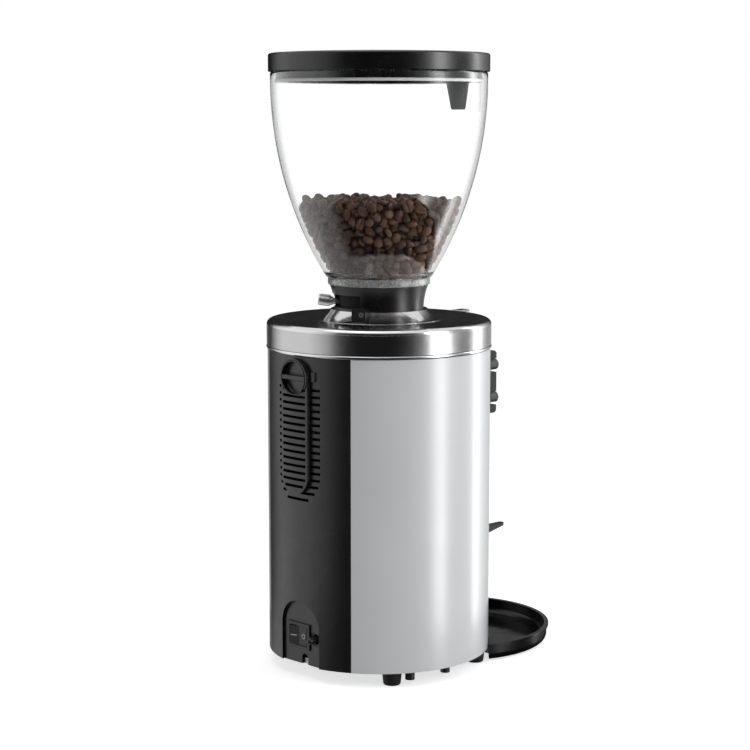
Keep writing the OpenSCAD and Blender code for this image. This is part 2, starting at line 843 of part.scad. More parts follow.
module control_panel() {
    frame_w = 3;
    color(dark_steel) in_frame() difference() {
        block([-plate_half_w, -pod_face - 0.8, pod_z + 4],
              [plate_half_w, -pod_face, pod_z + pod_h - 4]);
        block([-display_w / 2 + frame_w, -pod_face - 2, pod_mid - display_h / 2 + frame_w],
              [display_w / 2 - frame_w, -pod_face + 1, pod_mid + display_h / 2 - frame_w]);
    }
}

module display_window() {
    color([0.1, 0.16, 0.2]) in_frame()
        block([-display_w / 2 + sit, -pod_face, pod_mid - display_h / 2 + sit],
              [display_w / 2 - sit, -pod_face + display_t, pod_mid + display_h / 2 - sit]);
}

// Round cap with a domed end, on a stem that reaches the switch behind it
module push_button(place) {
    r = button_d / 2;
    cap_back = -button_floor - button_travel - cover_gap;
    stem_end = -plunger_y - button_travel - cover_gap;
    cap_front = -pod_face - button_proud;
    dome = 2.6;
    dome_r = (r * r + dome * dome) / (2 * dome);
    color(satin_black) in_frame() {
        intersection() {
            rod_y(r, place[0], place[1], cap_front, cap_back);
            translate([place[0], cap_front + dome_r, place[1]]) sphere(r = dome_r + 0.001);
        }
        rod_y(r, place[0], place[1], cap_front + dome, cap_back);
        rod_y(stem_r, place[0], place[1], cap_back - eps, stem_end);
    }
}

module button_upper_left() { push_button(button_places[0]); }
module button_upper_right() { push_button(button_places[1]); }
module button_lower_left() { push_button(button_places[2]); }
module button_lower_right() { push_button(button_places[3]); }

module control_board() {
    color([0.10, 0.35, 0.18]) in_frame()
        block([-pod_half_w + pod_wall + 0.5, -board_y, pod_z + pod_wall + 0.5],
              [pod_half_w - pod_wall - 0.5, -board_y + board_t, pod_z + pod_h - pod_wall - 0.5]);
}

module tact_switches() {
    half = 3;
    plunger_l = 0.6;
    color(dark_steel) in_frame() for (place = button_places) {
        block([place[0] - half, -plunger_y + plunger_l, place[1] - half],
              [place[0] + half, -board_y, place[1] + half]);
        rod_y(half / 2, place[0], place[1], -plunger_y, -board_y);
    }
}

// ---------------------------------------------------------------- chute, fork and tray

// Slab of the chute's loft at the ceiling of the bay
module chute_head(half_w, y1, y2, z, h) {
    corner = 4;
    translate([0, 0, z]) linear_extrude(h) hull()
        for (x = [-half_w + corner, half_w - corner], y = [y1 + corner, y2 - corner])
            translate([x, y]) circle(r = corner, $fn = 32);
}

module chute() {
    wall = chute_wall;
    top_h = 3;
    color(satin_black) in_frame() difference() {
        hull() {
            chute_head(duct_half_w + 3, -duct_front - 3, -duct_back + 1, bay_h - top_h, top_h);
            translate([0, -chute_mouth, chute_z]) cylinder(r = chute_r, h = chute_lip_h, $fn = 32);
        }
        hull() {
            chute_head(duct_half_w - wall, -duct_front + wall, -duct_back - wall, bay_h - 1, 2);
            translate([0, -chute_mouth, chute_z - 1])
                cylinder(r = chute_r - wall, h = chute_lip_h - 1, $fn = 32);
        }
    }
}

// Square duct from the grinding chamber to the ceiling of the bay
module exit_duct() {
    z1 = duct_z;
    z2 = z1 + duct_inside_h + duct_wall;
    y_in = -chamber_out_r - 0.5;
    w = duct_half_w;
    t = duct_wall;
    color(cast_metal) in_frame() difference() {
        union() {
            block([-w, -duct_front, z1 - t], [w, y_in + 3, z2]);
            block([-w, -duct_front, bay_h + fascia_t], [w, -duct_back, z1]);
        }
        block([-w + t, -duct_front + t, z1], [w - t, y_in + 4, z2 - t]);
        block([-w + t, -duct_front + t, bay_h], [w - t, -duct_back - t, z1 + 1]);
        cylinder(r = chamber_out_r + 0.1, h = 2 * casing_h);
    }
}

// Two arms on a screwed plate; the arms thin out towards their tips
module portafilter_fork() {
    plate_d = 3;
    root = 11;
    tip = 2.2;
    tip_r = fork_arm_w / 2;
    outer = fork_half_gap + fork_arm_w;
    color(dark_steel) in_frame() difference() {
        union() {
            block([-fork_screw_x - 10, -bay_depth - plate_d, fork_screw_z - 10],
                  [fork_screw_x + 10, -bay_depth, fork_z]);
            intersection() {
                rotate([90, 0, 90]) translate([0, 0, -outer]) linear_extrude(2 * outer)
                    polygon([[-bay_depth, fork_z], [-bay_depth, fork_z - root],
                             [-bay_depth - 10, fork_z - root],
                             [-fork_tip, fork_z - tip], [-fork_tip, fork_z]]);
                translate([0, 0, fork_z - 2 * root]) linear_extrude(3 * root) union() {
                    translate([-outer, -bay_depth - 9]) square([2 * outer, 9]);
                    for (side = [-1, 1]) {
                        translate([side * (fork_half_gap + tip_r) - tip_r, -fork_tip + tip_r])
                            square([fork_arm_w, fork_tip - bay_depth - tip_r]);
                        translate([side * (fork_half_gap + tip_r), -fork_tip + tip_r])
                            circle(r = tip_r, $fn = 48);
                    }
                }
            }
        }
        for (side = [-1, 1]) {
            rod_y(fork_screw_r + run, side * fork_screw_x, fork_screw_z,
                  -fork_tip, -bay_depth + eps);
            rod_y(4.6, side * fork_screw_x, fork_screw_z, -fork_tip, -bay_depth - plate_d);
        }
    }
}

module fork_screws() {
    cap = -bay_depth - 7;
    wall_back = bay_depth - fascia_t;
    tip = -wall_back + 0.4 * (wall_back - motor_r);
    color(steel) in_frame() for (side = [-1, 1]) difference() {
        union() {
            rod_y(fork_screw_r, side * fork_screw_x, fork_screw_z, -bay_depth - 3.5, tip);
            rod_y(4.2, side * fork_screw_x, fork_screw_z, cap, -bay_depth - 3);
        }
        translate([side * fork_screw_x, cap - eps, fork_screw_z]) rotate([-90, 0, 0])
            cylinder(r = 2.3, h = 2.5 + eps, $fn = 6);
    }
}

// Space that the casing takes from the round tray
module tray_relief(grow) {
    difference() {
        translate([0, 0, -foot_h - eps]) cylinder(r = casing_r + grow, h = 2 * foot_h + tray_h);
        bay_cut(-grow, -foot_h - 2 * eps, 2 * foot_h + tray_h);
    }
    block([-2 * casing_r, 0, -foot_h - eps], [2 * casing_r, 2 * casing_r, tray_h]);
}

// Round dish with a rolled rim and a rounded lower edge
module tray_solid(inset, z1) {
    corner = 6;
    lip = 1.6;
    z2 = tray_h - foot_h + 0.5;
    wall_r = tray_r - lip - inset;
    translate([0, -tray_centre, 0]) rotate_extrude() {
        translate([0, z1]) square([wall_r - corner, z2 - z1]);
        translate([0, z1 + corner]) square([wall_r, z2 - z1 - corner]);
        translate([wall_r - corner, z1 + corner]) circle(r = corner, $fn = 64);
    }
}

module coffee_tray() {
    z1 = -foot_h + 0.5;
    z2 = z1 + tray_h;
    lip_h = 2;
    color(satin_black) in_frame() difference() {
        union() {
            difference() {
                tray_solid(0, z1);
                tray_relief(1);
            }
            difference() {
                translate([0, -tray_centre, z2 - lip_h]) cylinder(r = tray_r, h = lip_h);
                tray_relief(1);
            }
        }
        difference() {
            union() {
                tray_solid(tray_wall, z1 + tray_wall);
                translate([0, -tray_centre, z2 - 1])
                    cylinder(r = tray_r - 1.6 - tray_wall, h = 2);
            }
            tray_relief(1 + tray_wall);
        }
    }
}

// ---------------------------------------------------------------- base

module base_plate() {
    color(cast_metal) in_frame() difference() {
        cylinder(r = base_r, h = base_t);
        bay_cut(fascia_t + sit, -eps, base_t + eps);
        block([-recess_half_w - recess_wall - sit, recess_back - sit, -eps],
              [recess_half_w + recess_wall + sit, 2 * casing_r, base_t + eps]);
        for (place = bolt_places)
            translate([place[0], place[1], -eps]) cylinder(r = 2.6, h = base_t + 2 * eps);
        for (place = foot_places)
            translate([place[0], place[1], -eps]) cylinder(r = 2.1, h = base_t + 2 * eps);
        for (a = [45 : 90 : 315])
            rotate([0, 0, a]) translate([25, 0, -eps]) cylinder(r = 8, h = base_t + 2 * eps);
    }
}

module base_bolts() {
    head_h = 8;
    color(dark_steel) in_frame() for (place = bolt_places)
        translate([place[0], place[1], -head_h]) difference() {
            union() {
                cylinder(r = 4, h = head_h);
                cylinder(r = 2.5, h = head_h + base_t);
            }
            translate([0, 0, -eps]) cylinder(r = 2.3, h = 4 + eps, $fn = 6);
        }
}

module feet() {
    taper = 1.2;
    round_r = 1.5;
    color(rubber_black) in_frame() for (place = foot_places)
        translate([place[0], place[1], -foot_h]) {
            translate([0, 0, round_r])
                cylinder(r1 = foot_r - taper, r2 = foot_r, h = foot_h - round_r);
            rotate_extrude() {
                square([foot_r - taper - round_r, round_r]);
                translate([foot_r - taper - round_r, round_r]) intersection() {
                    circle(r = round_r, $fn = 48);
                    translate([0, -round_r]) square(round_r);
                }
            }
            cylinder(r = 2, h = foot_h + base_t);
        }
}

// ---------------------------------------------------------------- motor

module motor_posts() {
    color(steel) in_frame() for (a = [0 : 90 : 270])
        rotate([0, 0, a]) translate([post_r, 0, base_t]) cylinder(r = 5, h = motor_z - base_t);
}

module motor_end_plate() {
    cut_h = end_plate_t + 2 * eps;
    slot_in = bearing_r + 12;
    slot_out = motor_r - 14;
    color(cast_metal) in_frame() difference() {
        translate([0, 0, motor_z]) cylinder(r = motor_r, h = end_plate_t);
        translate([0, 0, motor_z - eps]) cylinder(r = bearing_r + run, h = cut_h);
        for (a = [15 : 30 : 345])
            rotate([0, 0, a]) translate([slot_in, -3, motor_z - eps]) cube([slot_out - slot_in, 6, cut_h]);
    }
}

module motor_housing() {
    cut_h = flange_t + 4;
    color(cast_metal) in_frame() difference() {
        translate([0, 0, z_housing]) cylinder(r = motor_r, h = motor_h);
        translate([0, 0, z_housing - eps]) cylinder(r = motor_in_r, h = motor_h - flange_t + eps);
        translate([0, 0, z_flange - cut_h]) cylinder(r = bearing_r + 4, h = cut_h + eps);
        for (a = [45 : 90 : 315])
            rotate([0, 0, a]) translate([bolt_r, 0, z_flange - cut_h])
                cylinder(r = 2.5 + run, h = cut_h + eps);
    }
}

module stator() {
    color(dark_steel) in_frame()
        tube(motor_in_r - run, stator_bore_r, z_housing + coil_space, z_flange - coil_space);
}

// Two rings of wound wire above and below the stator
module windings() {
    coil_x = (motor_in_r + stator_bore_r) / 2 - 0.5;
    coil_r = stator_w / 2 - 5.5;
    coil_z = coil_space - coil_r;
    color(copper) in_frame() {
        for (z = [z_housing + coil_z, z_flange - coil_z])
            translate([0, 0, z]) rotate_extrude() {
                translate([coil_x, 0]) circle(r = coil_r, $fn = 48);
            }
    }
}

module rotor() {
    end = coil_space - 2;
    color(dark_steel) in_frame()
        tube(stator_bore_r - 0.6, shaft_r + run, z_housing + end, z_flange - end);
}

module motor_shaft() {
    color(steel) in_frame() {
        translate([0, 0, base_t + 3]) cylinder(r = shaft_r, h = z_chamber_floor - 6 - base_t - 3);
        translate([0, 0, base_t + 3]) cylinder(r = journal_r, h = z_burr + 2 - base_t - 3);
        translate([0, 0, z_burr]) cylinder(r = shaft_r, h = 4, $fn = 6);
    }
}

module cooling_fan() {
    z1 = base_t + 6;
    fan_h = 15;
    fan_r = 44;
    hub_r = 14;
    disc_t = 2;
    blade_t = 1.8;
    blades = 9;
    color(satin_black) in_frame() difference() {
        union() {
            rotate_extrude() {
                translate([0, z1]) square([hub_r, fan_h]);
                translate([0, z1 + fan_h - disc_t]) square([fan_r, disc_t]);
            }
            for (i = [0 : blades - 1])
                rotate([0, 0, i * 360 / blades])
                    translate([hub_r - 2, -blade_t / 2, z1 + 1])
                        cube([fan_r - hub_r, blade_t, fan_h - disc_t]);
        }
        translate([0, 0, z1 - eps]) cylinder(r = shaft_r + run, h = fan_h + 2 * eps);
    }
}

module lower_bearing() {
    color(steel) in_frame() tube(bearing_r, shaft_r + run, motor_z, motor_z + bearing_h);
}

module upper_bearing() {
    color(steel) in_frame() tube(bearing_r, shaft_r + run, z_bearing, z_bearing + bearing_h);
}

// ---------------------------------------------------------------- grinding chamber

module grinding_chamber() {
    z_top = z_plate - plate_t;
    floor_z = z_bearing;
    flange_r = neck_foot_r + 7;
    color(cast_metal) in_frame() difference() {
        rotate_extrude() difference() {
            union() {
                translate([0, z_flange]) square([motor_r, flange_t]);
                translate([0, z_flange]) square([chamber_out_r, z_top - z_flange]);
                translate([0, z_top - flange_t]) square([flange_r, flange_t]);
            }
            translate([0, z_flange - eps]) square([chamber_in_r, floor_z - z_flange + eps]);
            translate([0, floor_z - eps]) square([bearing_r + run, bearing_h + 1 + eps]);
            translate([0, floor_z]) square([shaft_r + 1, z_top - floor_z]);
            translate([0, z_chamber_floor]) square([chamber_in_r, z_top]);
        }
        block([-duct_half_w + duct_wall, -chamber_out_r - 5, duct_z],
              [duct_half_w - duct_wall, -chamber_in_r + 10, duct_z + duct_inside_h]);
        for (a = [45 : 90 : 315])
            rotate([0, 0, a]) translate([bolt_r, 0, z_flange - eps])
                cylinder(r = 2.5 + run, h = flange_t + 2 * eps);
    }
}

module chamber_bolts() {
    color(steel) in_frame() for (a = [45 : 90 : 315])
        rotate([0, 0, a]) translate([bolt_r, 0, z_flange]) difference() {
            union() {
                translate([0, 0, -flange_t - 3]) cylinder(r = 2.5, h = 2 * flange_t + 4);
                translate([0, 0, flange_t]) cylinder(r = 4.2, h = 5);
            }
            translate([0, 0, flange_t + 2]) cylinder(r = 2.3, h = 4, $fn = 6);
        }
}

module burr_carrier() {
    sweepers = 4;
    color(cast_metal) in_frame() difference() {
        union() {
            translate([0, 0, z_carrier]) cylinder(r = burr_r + 4, h = carrier_t);
            translate([0, 0, z_chamber_floor - 5.9]) cylinder(r = shaft_r, h = 9);
            for (i = [0 : sweepers - 1])
                rotate([0, 0, i * 360 / sweepers])
                    block([burr_r, -2.5, z_carrier], [chamber_in_r - 1.2, 2.5, z_carrier + 5]);
        }
        translate([0, 0, z_bearing]) cylinder(r = journal_r + run, h = z_burr_top - z_bearing);
        for (a = [0, 120, 240])
            rotate([0, 0, a]) translate([burr_screw_r, 0, z_carrier - eps])
                cylinder(r = screw_r + run, h = carrier_t + 2 * eps);
    }
}

// Flat burr with slanted teeth cut in its upper face
module burr() {
    step = 360 / burr_teeth;
    face_r = (burr_r + burr_bore_r) / 2;
    difference() {
        rotate_extrude() polygon([
            [burr_bore_r, 0], [burr_r, 0], [burr_r, burr_t],
            [burr_bore_r + 4, burr_t], [burr_bore_r, burr_t - tooth_depth]
        ]);
        for (i = [0 : burr_teeth - 1])
            rotate([0, 0, (i + 0.5) * step]) translate([face_r, 0, burr_t]) rotate([0, 0, 20])
                rotate([32, 0, 0]) translate([-burr_r / 2, -tooth_w / 2, -tooth_w / 2])
                    cube([burr_r, tooth_w, tooth_w]);
        for (a = [0, 120, 240])
            rotate([0, 0, a]) translate([burr_screw_r, 0, -eps]) {
                cylinder(r = screw_r + run, h = burr_t + 2 * eps);
                translate([0, 0, burr_t - head_pocket + eps]) cylinder(r = head_r + sit, h = 4);
            }
    }
}

module burr_screws(length) {
    for (a = [0, 120, 240])
        rotate([0, 0, a]) translate([burr_screw_r, 0, 0]) difference() {
            union() {
                translate([0, 0, -length]) cylinder(r = screw_r, h = length + burr_t - head_pocket + 0.1);
                translate([0, 0, burr_t - head_pocket]) cylinder(r = head_r, h = head_h);
            }
            translate([0, 0, burr_t - head_pocket + 0.6]) cylinder(r = 1.2, h = 4, $fn = 6);
        }
}

module lower_burr() {
    color(steel) in_frame() translate([0, 0, z_burr]) burr();
}

module lower_burr_screws() {
    color(dark_steel) in_frame() translate([0, 0, z_burr]) burr_screws(carrier_t - 1);
}

module at_upper_burr() {
    translate([0, 0, z_burr_top]) mirror([0, 0, 1]) rotate([0, 0, 180 / burr_teeth]) children();
}

module upper_burr() {
    color(steel) in_frame() at_upper_burr() burr();
}

module upper_burr_screws() {
    color(dark_steel) in_frame() at_upper_burr() burr_screws(6);
}

module upper_carrier() {
    color(cast_metal) in_frame() difference() {
        tube(chamber_in_r - 0.4, burr_bore_r + 1, z_burr_top, z_carrier_top);
        at_upper_burr() for (a = [0, 120, 240])
            rotate([0, 0, a]) translate([burr_screw_r, 0, -8]) cylinder(r = screw_r + run, h = 10);
        for (a = [0, 120, 240])
            rotate([0, 0, a]) translate([tie_screw_r, 0, z_carrier_top - 8.5])
                cylinder(r = 1.6, h = 8.5 + eps);
        translate([0, 0, z_burr_top + 6])
            cylinder(r1 = burr_bore_r + 1, r2 = ring_in_r, h = upper_carrier_h - 6 + 0.01);
    }
}

// Can that stands between the motor and the casing
module run_capacitor() {
    gap_in = 3.5;
    gap_out = 1.9;
    can_r = (base_r - motor_r - gap_in - gap_out) / 2;
    can_h = 2 * motor_z;
    tab_w = 6;
    color(dark_steel) in_frame() translate([-motor_r - can_r - gap_in, 0, base_t]) {
        cylinder(r = can_r, h = can_h);
        cylinder(r = can_r - 2, h = can_h + 3);
        for (side = [-1, 1])
            translate([-0.5, side * can_r / 2.9 - tab_w / 2, can_h]) cube([1, tab_w, 2 * tab_w]);
    }
}

// ---------------------------------------------------------------- switch and reset

module switch_frame() {
    flange_t = 1.5;
    depth = 24;
    t = switch_t;
    w = switch_cut_w / 2 - sit;
    h = switch_cut_h / 2 - sit;
    color(satin_black) in_frame() translate([switch_x, recess_floor, switch_z]) difference() {
        union() {
            block([-switch_w / 2, 0, -switch_h / 2], [switch_w / 2, flange_t, switch_h / 2]);
            block([-w, -depth, -h], [w, eps, h]);
        }
        block([-w + t, -10, -h + t], [w - t, flange_t + eps, h - t]);
        translate([0, rocker_pivot - recess_floor, -h - eps])
            cylinder(r = rocker_pin_r + run, h = 2 * h + 2 * eps);
    }
}

// V-shaped rocker that tilts about an upright pin
module switch_rocker() {
    swing_r = switch_cut_w / 2 - sit - switch_t - sit;
    half_h = switch_cut_h / 2 - sit - switch_t - 0.3;
    pin = switch_cut_h / 2 - sit - 0.3;
    face = 4.6;
    rise = swing_r * tan(rocker_tilt);
    color(satin_black) in_frame() translate([switch_x, rocker_pivot, switch_z])
        rotate([0, 0, rocker_tilt]) {
            translate([0, 0, -half_h]) linear_extrude(2 * half_h) intersection() {
                circle(r = swing_r);
                polygon([[-swing_r, face + rise], [0, face], [swing_r, face + rise],
                         [swing_r, 0], [3, -3], [-3, -3], [-swing_r, 0]]);
            }
            translate([0, 0, -pin]) cylinder(r = rocker_pin_r, h = 2 * pin);
        }
}

module reset_breaker() {
    barrel_in = reset_d / 2 + run;
    color(satin_black) in_frame() difference() {
        union() {
            rod_y(reset_hole_r - sit, reset_x, switch_z, recess_back - 6, recess_floor - 0.6);
            block([reset_x - 6.5, recess_back - 26, switch_z - 8],
                  [reset_x + 6.5, recess_back - 5, switch_z + 8]);
        }
        rod_y(reset_hole_r - 1.4, reset_x, switch_z, recess_back - 3, recess_floor);
        rod_y(barrel_in, reset_x, switch_z, recess_back - 14, recess_floor);
    }
}

module reset_button() {
    color(satin_black) in_frame() {
        rod_y(reset_d / 2, reset_x, switch_z, recess_back - 9, recess_floor + 6.4);
        translate([reset_x, recess_floor + 6.4, switch_z]) sphere(r = reset_d / 2);
    }
}

// ---------------------------------------------------------------- drawing

body_shell();
rear_panel();
vent_cover();
vent_latch();
front_fascia();
trim_bead();
top_band();
top_plate();
front_tab();
hopper_collar();
lock_block();
lock_screw();
adjust_ring();
adjust_lever();
ring_screws();
hopper_glass();
bean_fill();
lid();
coffee_tray();
control_pod();
control_panel();
display_window();
button_upper_left();
button_upper_right();
button_lower_left();
button_lower_right();
control_board();
tact_switches();
chute();
exit_duct();
portafilter_fork();
fork_screws();
base_plate();
base_bolts();
feet();
motor_posts();
motor_end_plate();
motor_housing();
stator();
windings();
rotor();
motor_shaft();
cooling_fan();
lower_bearing();
upper_bearing();
grinding_chamber();
chamber_bolts();
burr_carrier();
lower_burr();
lower_burr_screws();
upper_carrier();
upper_burr();
upper_burr_screws();
run_capacitor();
switch_frame();
switch_rocker();
reset_breaker();
reset_button();
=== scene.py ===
# %% [markdown]
# # A burr coffee grinder in its studio
# The machine is a round steel casing with a black rear cover, a glass bean hopper on a
# black collar, and a fork and tray at its front. Its solids come from CAD and stay where
# they are. This notebook gives each of them its finish, blows the glass, pours the beans,
# and lights the whole as a product on white.

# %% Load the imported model
import json
import math

import bpy
import numpy as np
from mathutils import Matrix, Vector
from mathutils.kdtree import KDTree


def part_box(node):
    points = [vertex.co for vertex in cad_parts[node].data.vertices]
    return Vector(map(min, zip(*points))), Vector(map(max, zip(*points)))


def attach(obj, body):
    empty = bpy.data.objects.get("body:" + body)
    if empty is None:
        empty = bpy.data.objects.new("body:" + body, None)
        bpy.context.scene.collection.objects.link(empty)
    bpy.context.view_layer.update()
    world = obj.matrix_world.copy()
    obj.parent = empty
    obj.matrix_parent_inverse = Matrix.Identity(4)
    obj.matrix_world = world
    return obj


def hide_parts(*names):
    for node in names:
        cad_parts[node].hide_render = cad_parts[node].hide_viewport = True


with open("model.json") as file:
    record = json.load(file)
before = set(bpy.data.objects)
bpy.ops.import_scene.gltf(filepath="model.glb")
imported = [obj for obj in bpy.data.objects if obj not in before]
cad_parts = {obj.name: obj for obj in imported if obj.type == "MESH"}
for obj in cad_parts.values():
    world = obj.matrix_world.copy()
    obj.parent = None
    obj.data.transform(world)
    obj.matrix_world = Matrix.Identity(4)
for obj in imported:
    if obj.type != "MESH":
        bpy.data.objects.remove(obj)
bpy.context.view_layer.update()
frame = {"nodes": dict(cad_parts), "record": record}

nodes = frame["nodes"]
MM = 0.001

# %% [markdown]
# The casing stands on one upright axis, and nearly every visible piece is round about it.
# The stainless band is the widest of them, so its box gives that axis.

# %% Find the axis of the machine
band_low, band_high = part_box("top_band")
AXIS = Vector(((band_low.x + band_high.x) / 2, (band_low.y + band_high.y) / 2, 0))
print("axis at", round(AXIS.x, 5), round(AXIS.y, 5))

# %% [markdown]
# ## Camera
# The machine is seen from behind its right shoulder, a little from above, with a long
# lens. A long lens keeps the casing's sides nearly parallel, as product pictures do.

# %% Place the camera
CAMERA_AZIMUTH = math.radians(225.4)
CAMERA_DISTANCE = 1.6115
CAMERA_HEIGHT = 0.4674
CAMERA_PITCH = math.radians(7.774)
CAMERA_SIDESTEP = 0.00339
SENSOR = 36.0
FOCAL_PIXELS = 1902.6
IMAGE_PIXELS = 750

toward_camera = Vector((math.sin(CAMERA_AZIMUTH), -math.cos(CAMERA_AZIMUTH), 0))
camera_right = Vector((-toward_camera.y, toward_camera.x, 0))

camera = bpy.data.objects.new("camera", bpy.data.cameras.new("camera"))
camera.data.sensor_width = SENSOR
camera.data.lens = FOCAL_PIXELS / IMAGE_PIXELS * SENSOR
camera.location = (AXIS + toward_camera * CAMERA_DISTANCE
                   - camera_right * CAMERA_SIDESTEP + Vector((0, 0, CAMERA_HEIGHT)))
looking = -toward_camera * math.cos(CAMERA_PITCH) - Vector((0, 0, math.sin(CAMERA_PITCH)))
camera.rotation_mode = "QUATERNION"
camera.rotation_quaternion = looking.to_track_quat("-Z", "Y")
bpy.context.scene.collection.objects.link(camera)
bpy.context.scene.camera = camera
bpy.context.scene.view_settings.view_transform = "Standard"
print("camera at", [round(v, 3) for v in camera.location], "lens", round(camera.data.lens, 1))

# %% [markdown]
# ## Studio
# White all round lights a white product evenly, but metal and glass need dark cards
# beside them, or they vanish. One way is to build such a studio with real cards. Here the
# light, the white backdrop and what mirrors show are set apart instead, so that each can
# be changed alone. A bearing of 0 points at the camera, and 90 to the camera's right.

# %% Count bearings from the camera
def bearing(degrees):
    """Level direction from the axis, counted from the camera to its right."""
    a = math.radians(degrees)
    return toward_camera * math.cos(a) + camera_right * math.sin(a)


print("camera's right is", [round(v, 3) for v in bearing(90)])

# %% [markdown]
# The Light Path node tells what kind of ray is asking. A ray that only looks may see
# white, while a scattered one, which carries light, gets the true strength of the lamps.
# Its answers are 0 or 1, so plain arithmetic is enough to combine them.

# %% Tell looking rays from light
def sum_of(tree, operation, *values):
    """Joins values, each a socket or a number, by one Math operation after another."""
    total = values[0]
    for value in values[1:]:
        step = tree.nodes.new("ShaderNodeMath")
        step.operation = operation
        for side, term in enumerate((total, value)):
            if isinstance(term, float):
                step.inputs[side].default_value = term
            else:
                tree.links.new(term, step.inputs[side])
        total = step.outputs[0]
    return total


def seen_directly(tree):
    """1 for rays that look: from the camera, a mirror or through glass, before any scatter."""
    path = tree.nodes.new("ShaderNodeLightPath")
    looks = sum_of(tree, "MAXIMUM", path.outputs["Is Camera Ray"], path.outputs["Is Glossy Ray"],
                   path.outputs["Is Transmission Ray"])
    scattered = sum_of(tree, "MINIMUM", path.outputs["Diffuse Depth"], 1.0)
    return sum_of(tree, "SUBTRACT", looks, sum_of(tree, "MULTIPLY", looks, scattered))


def mirrored(tree):
    """1 for rays that a mirror or the inside of the glass has turned, else 0."""
    path = tree.nodes.new("ShaderNodeLightPath")
    return sum_of(tree, "MINIMUM", path.outputs["Glossy Depth"], 1.0)


def through_glass(tree, plain, clear):
    """The value plain, or clear for rays that come straight through the glass."""
    path = tree.nodes.new("ShaderNodeLightPath")
    gain = sum_of(tree, "MULTIPLY", path.outputs["Is Transmission Ray"], clear - plain)
    return sum_of(tree, "ADD", gain, plain)


print("rays told apart")

# %% [markdown]
# The world gives soft light from everywhere, and behind that a white that is only looked
# at. Glass turns a little away at each of its faces, so it is shown a brighter one.

# %% Light the world
WORLD_WHITE = 1.0
GLASS_WHITE = 1.22
WORLD_LIGHT = 0.42

world = bpy.data.worlds.new("studio")
bpy.context.scene.world = world
world.use_nodes = True
sky = world.node_tree
sky.nodes.clear()
lighting = sky.nodes.new("ShaderNodeBackground")
lighting.inputs["Color"].default_value = (1, 1, 1, 1)
lighting.inputs["Strength"].default_value = WORLD_LIGHT
backdrop = sky.nodes.new("ShaderNodeBackground")
backdrop.inputs["Color"].default_value = (1, 1, 1, 1)
sky.links.new(through_glass(sky, WORLD_WHITE, GLASS_WHITE), backdrop.inputs["Strength"])
either = sky.nodes.new("ShaderNodeMixShader")
sky.links.new(seen_directly(sky), either.inputs[0])
sky.links.new(lighting.outputs[0], either.inputs[1])
sky.links.new(backdrop.outputs[0], either.inputs[2])
sky_out = sky.nodes.new("ShaderNodeOutputWorld")
sky.links.new(either.outputs[0], sky_out.inputs["Surface"])
print("world light", WORLD_LIGHT)

# %% [markdown]
# Two tall strip lamps on the right shape the casing's bright side, and a square one
# overhead lifts the top. The mirror pictures of the strips come from the surround further
# down, so the strip lamps themselves are hidden from mirrors.

# %% Set up the lamps
def lamp(name, at, aim, width, height, radiance):
    """Area lamp whose face has the given radiance, so its size doesn't change its glare."""
    data = bpy.data.lights.new(name, "AREA")
    data.shape = "RECTANGLE"
    data.size = width
    data.size_y = height
    data.energy = radiance * math.pi * width * height
    made = bpy.data.objects.new(name, data)
    made.location = at
    made.rotation_euler = (aim - at).to_track_quat("-Z", "Y").to_euler()
    bpy.context.scene.collection.objects.link(made)
    return made


MIDDLE = Vector((0, 0, 0.27))
STRIPS = (("strip_right", 62, 0.60, 3.4), ("strip_far_right", 116, 0.55, 4.2))
STRIP_DISTANCE = 1.5
STRIP_HEIGHT = 1.5
STRIP_LIFT = 1.4
OVERHEAD_HEIGHT = 1.9
OVERHEAD_BEARING = -60
OVERHEAD_REACH = 0.3
OVERHEAD_SIZE = 1.1
OVERHEAD_RADIANCE = 1.3

for name, degrees, width, radiance in STRIPS:
    strip = lamp(name, AXIS + bearing(degrees) * STRIP_DISTANCE + MIDDLE * STRIP_LIFT,
                 AXIS + MIDDLE, width, STRIP_HEIGHT, radiance)
    strip.visible_glossy = False
above = AXIS + Vector((0, 0, OVERHEAD_HEIGHT)) + bearing(OVERHEAD_BEARING) * OVERHEAD_REACH
lamp("overhead", above, AXIS + MIDDLE, OVERHEAD_SIZE, OVERHEAD_SIZE, OVERHEAD_RADIANCE)
print(len(STRIPS) + 1, "lamps")

# %% [markdown]
# What polished metal, lacquer and glass show is the room, so the room is drawn as a
# surround that only mirrors see: a ring of paper that shines by itself. How bright it is
# at each point is stored on the mesh, once for mirrors and once for rays inside the
# glass, whose bent paths show other parts of the room.

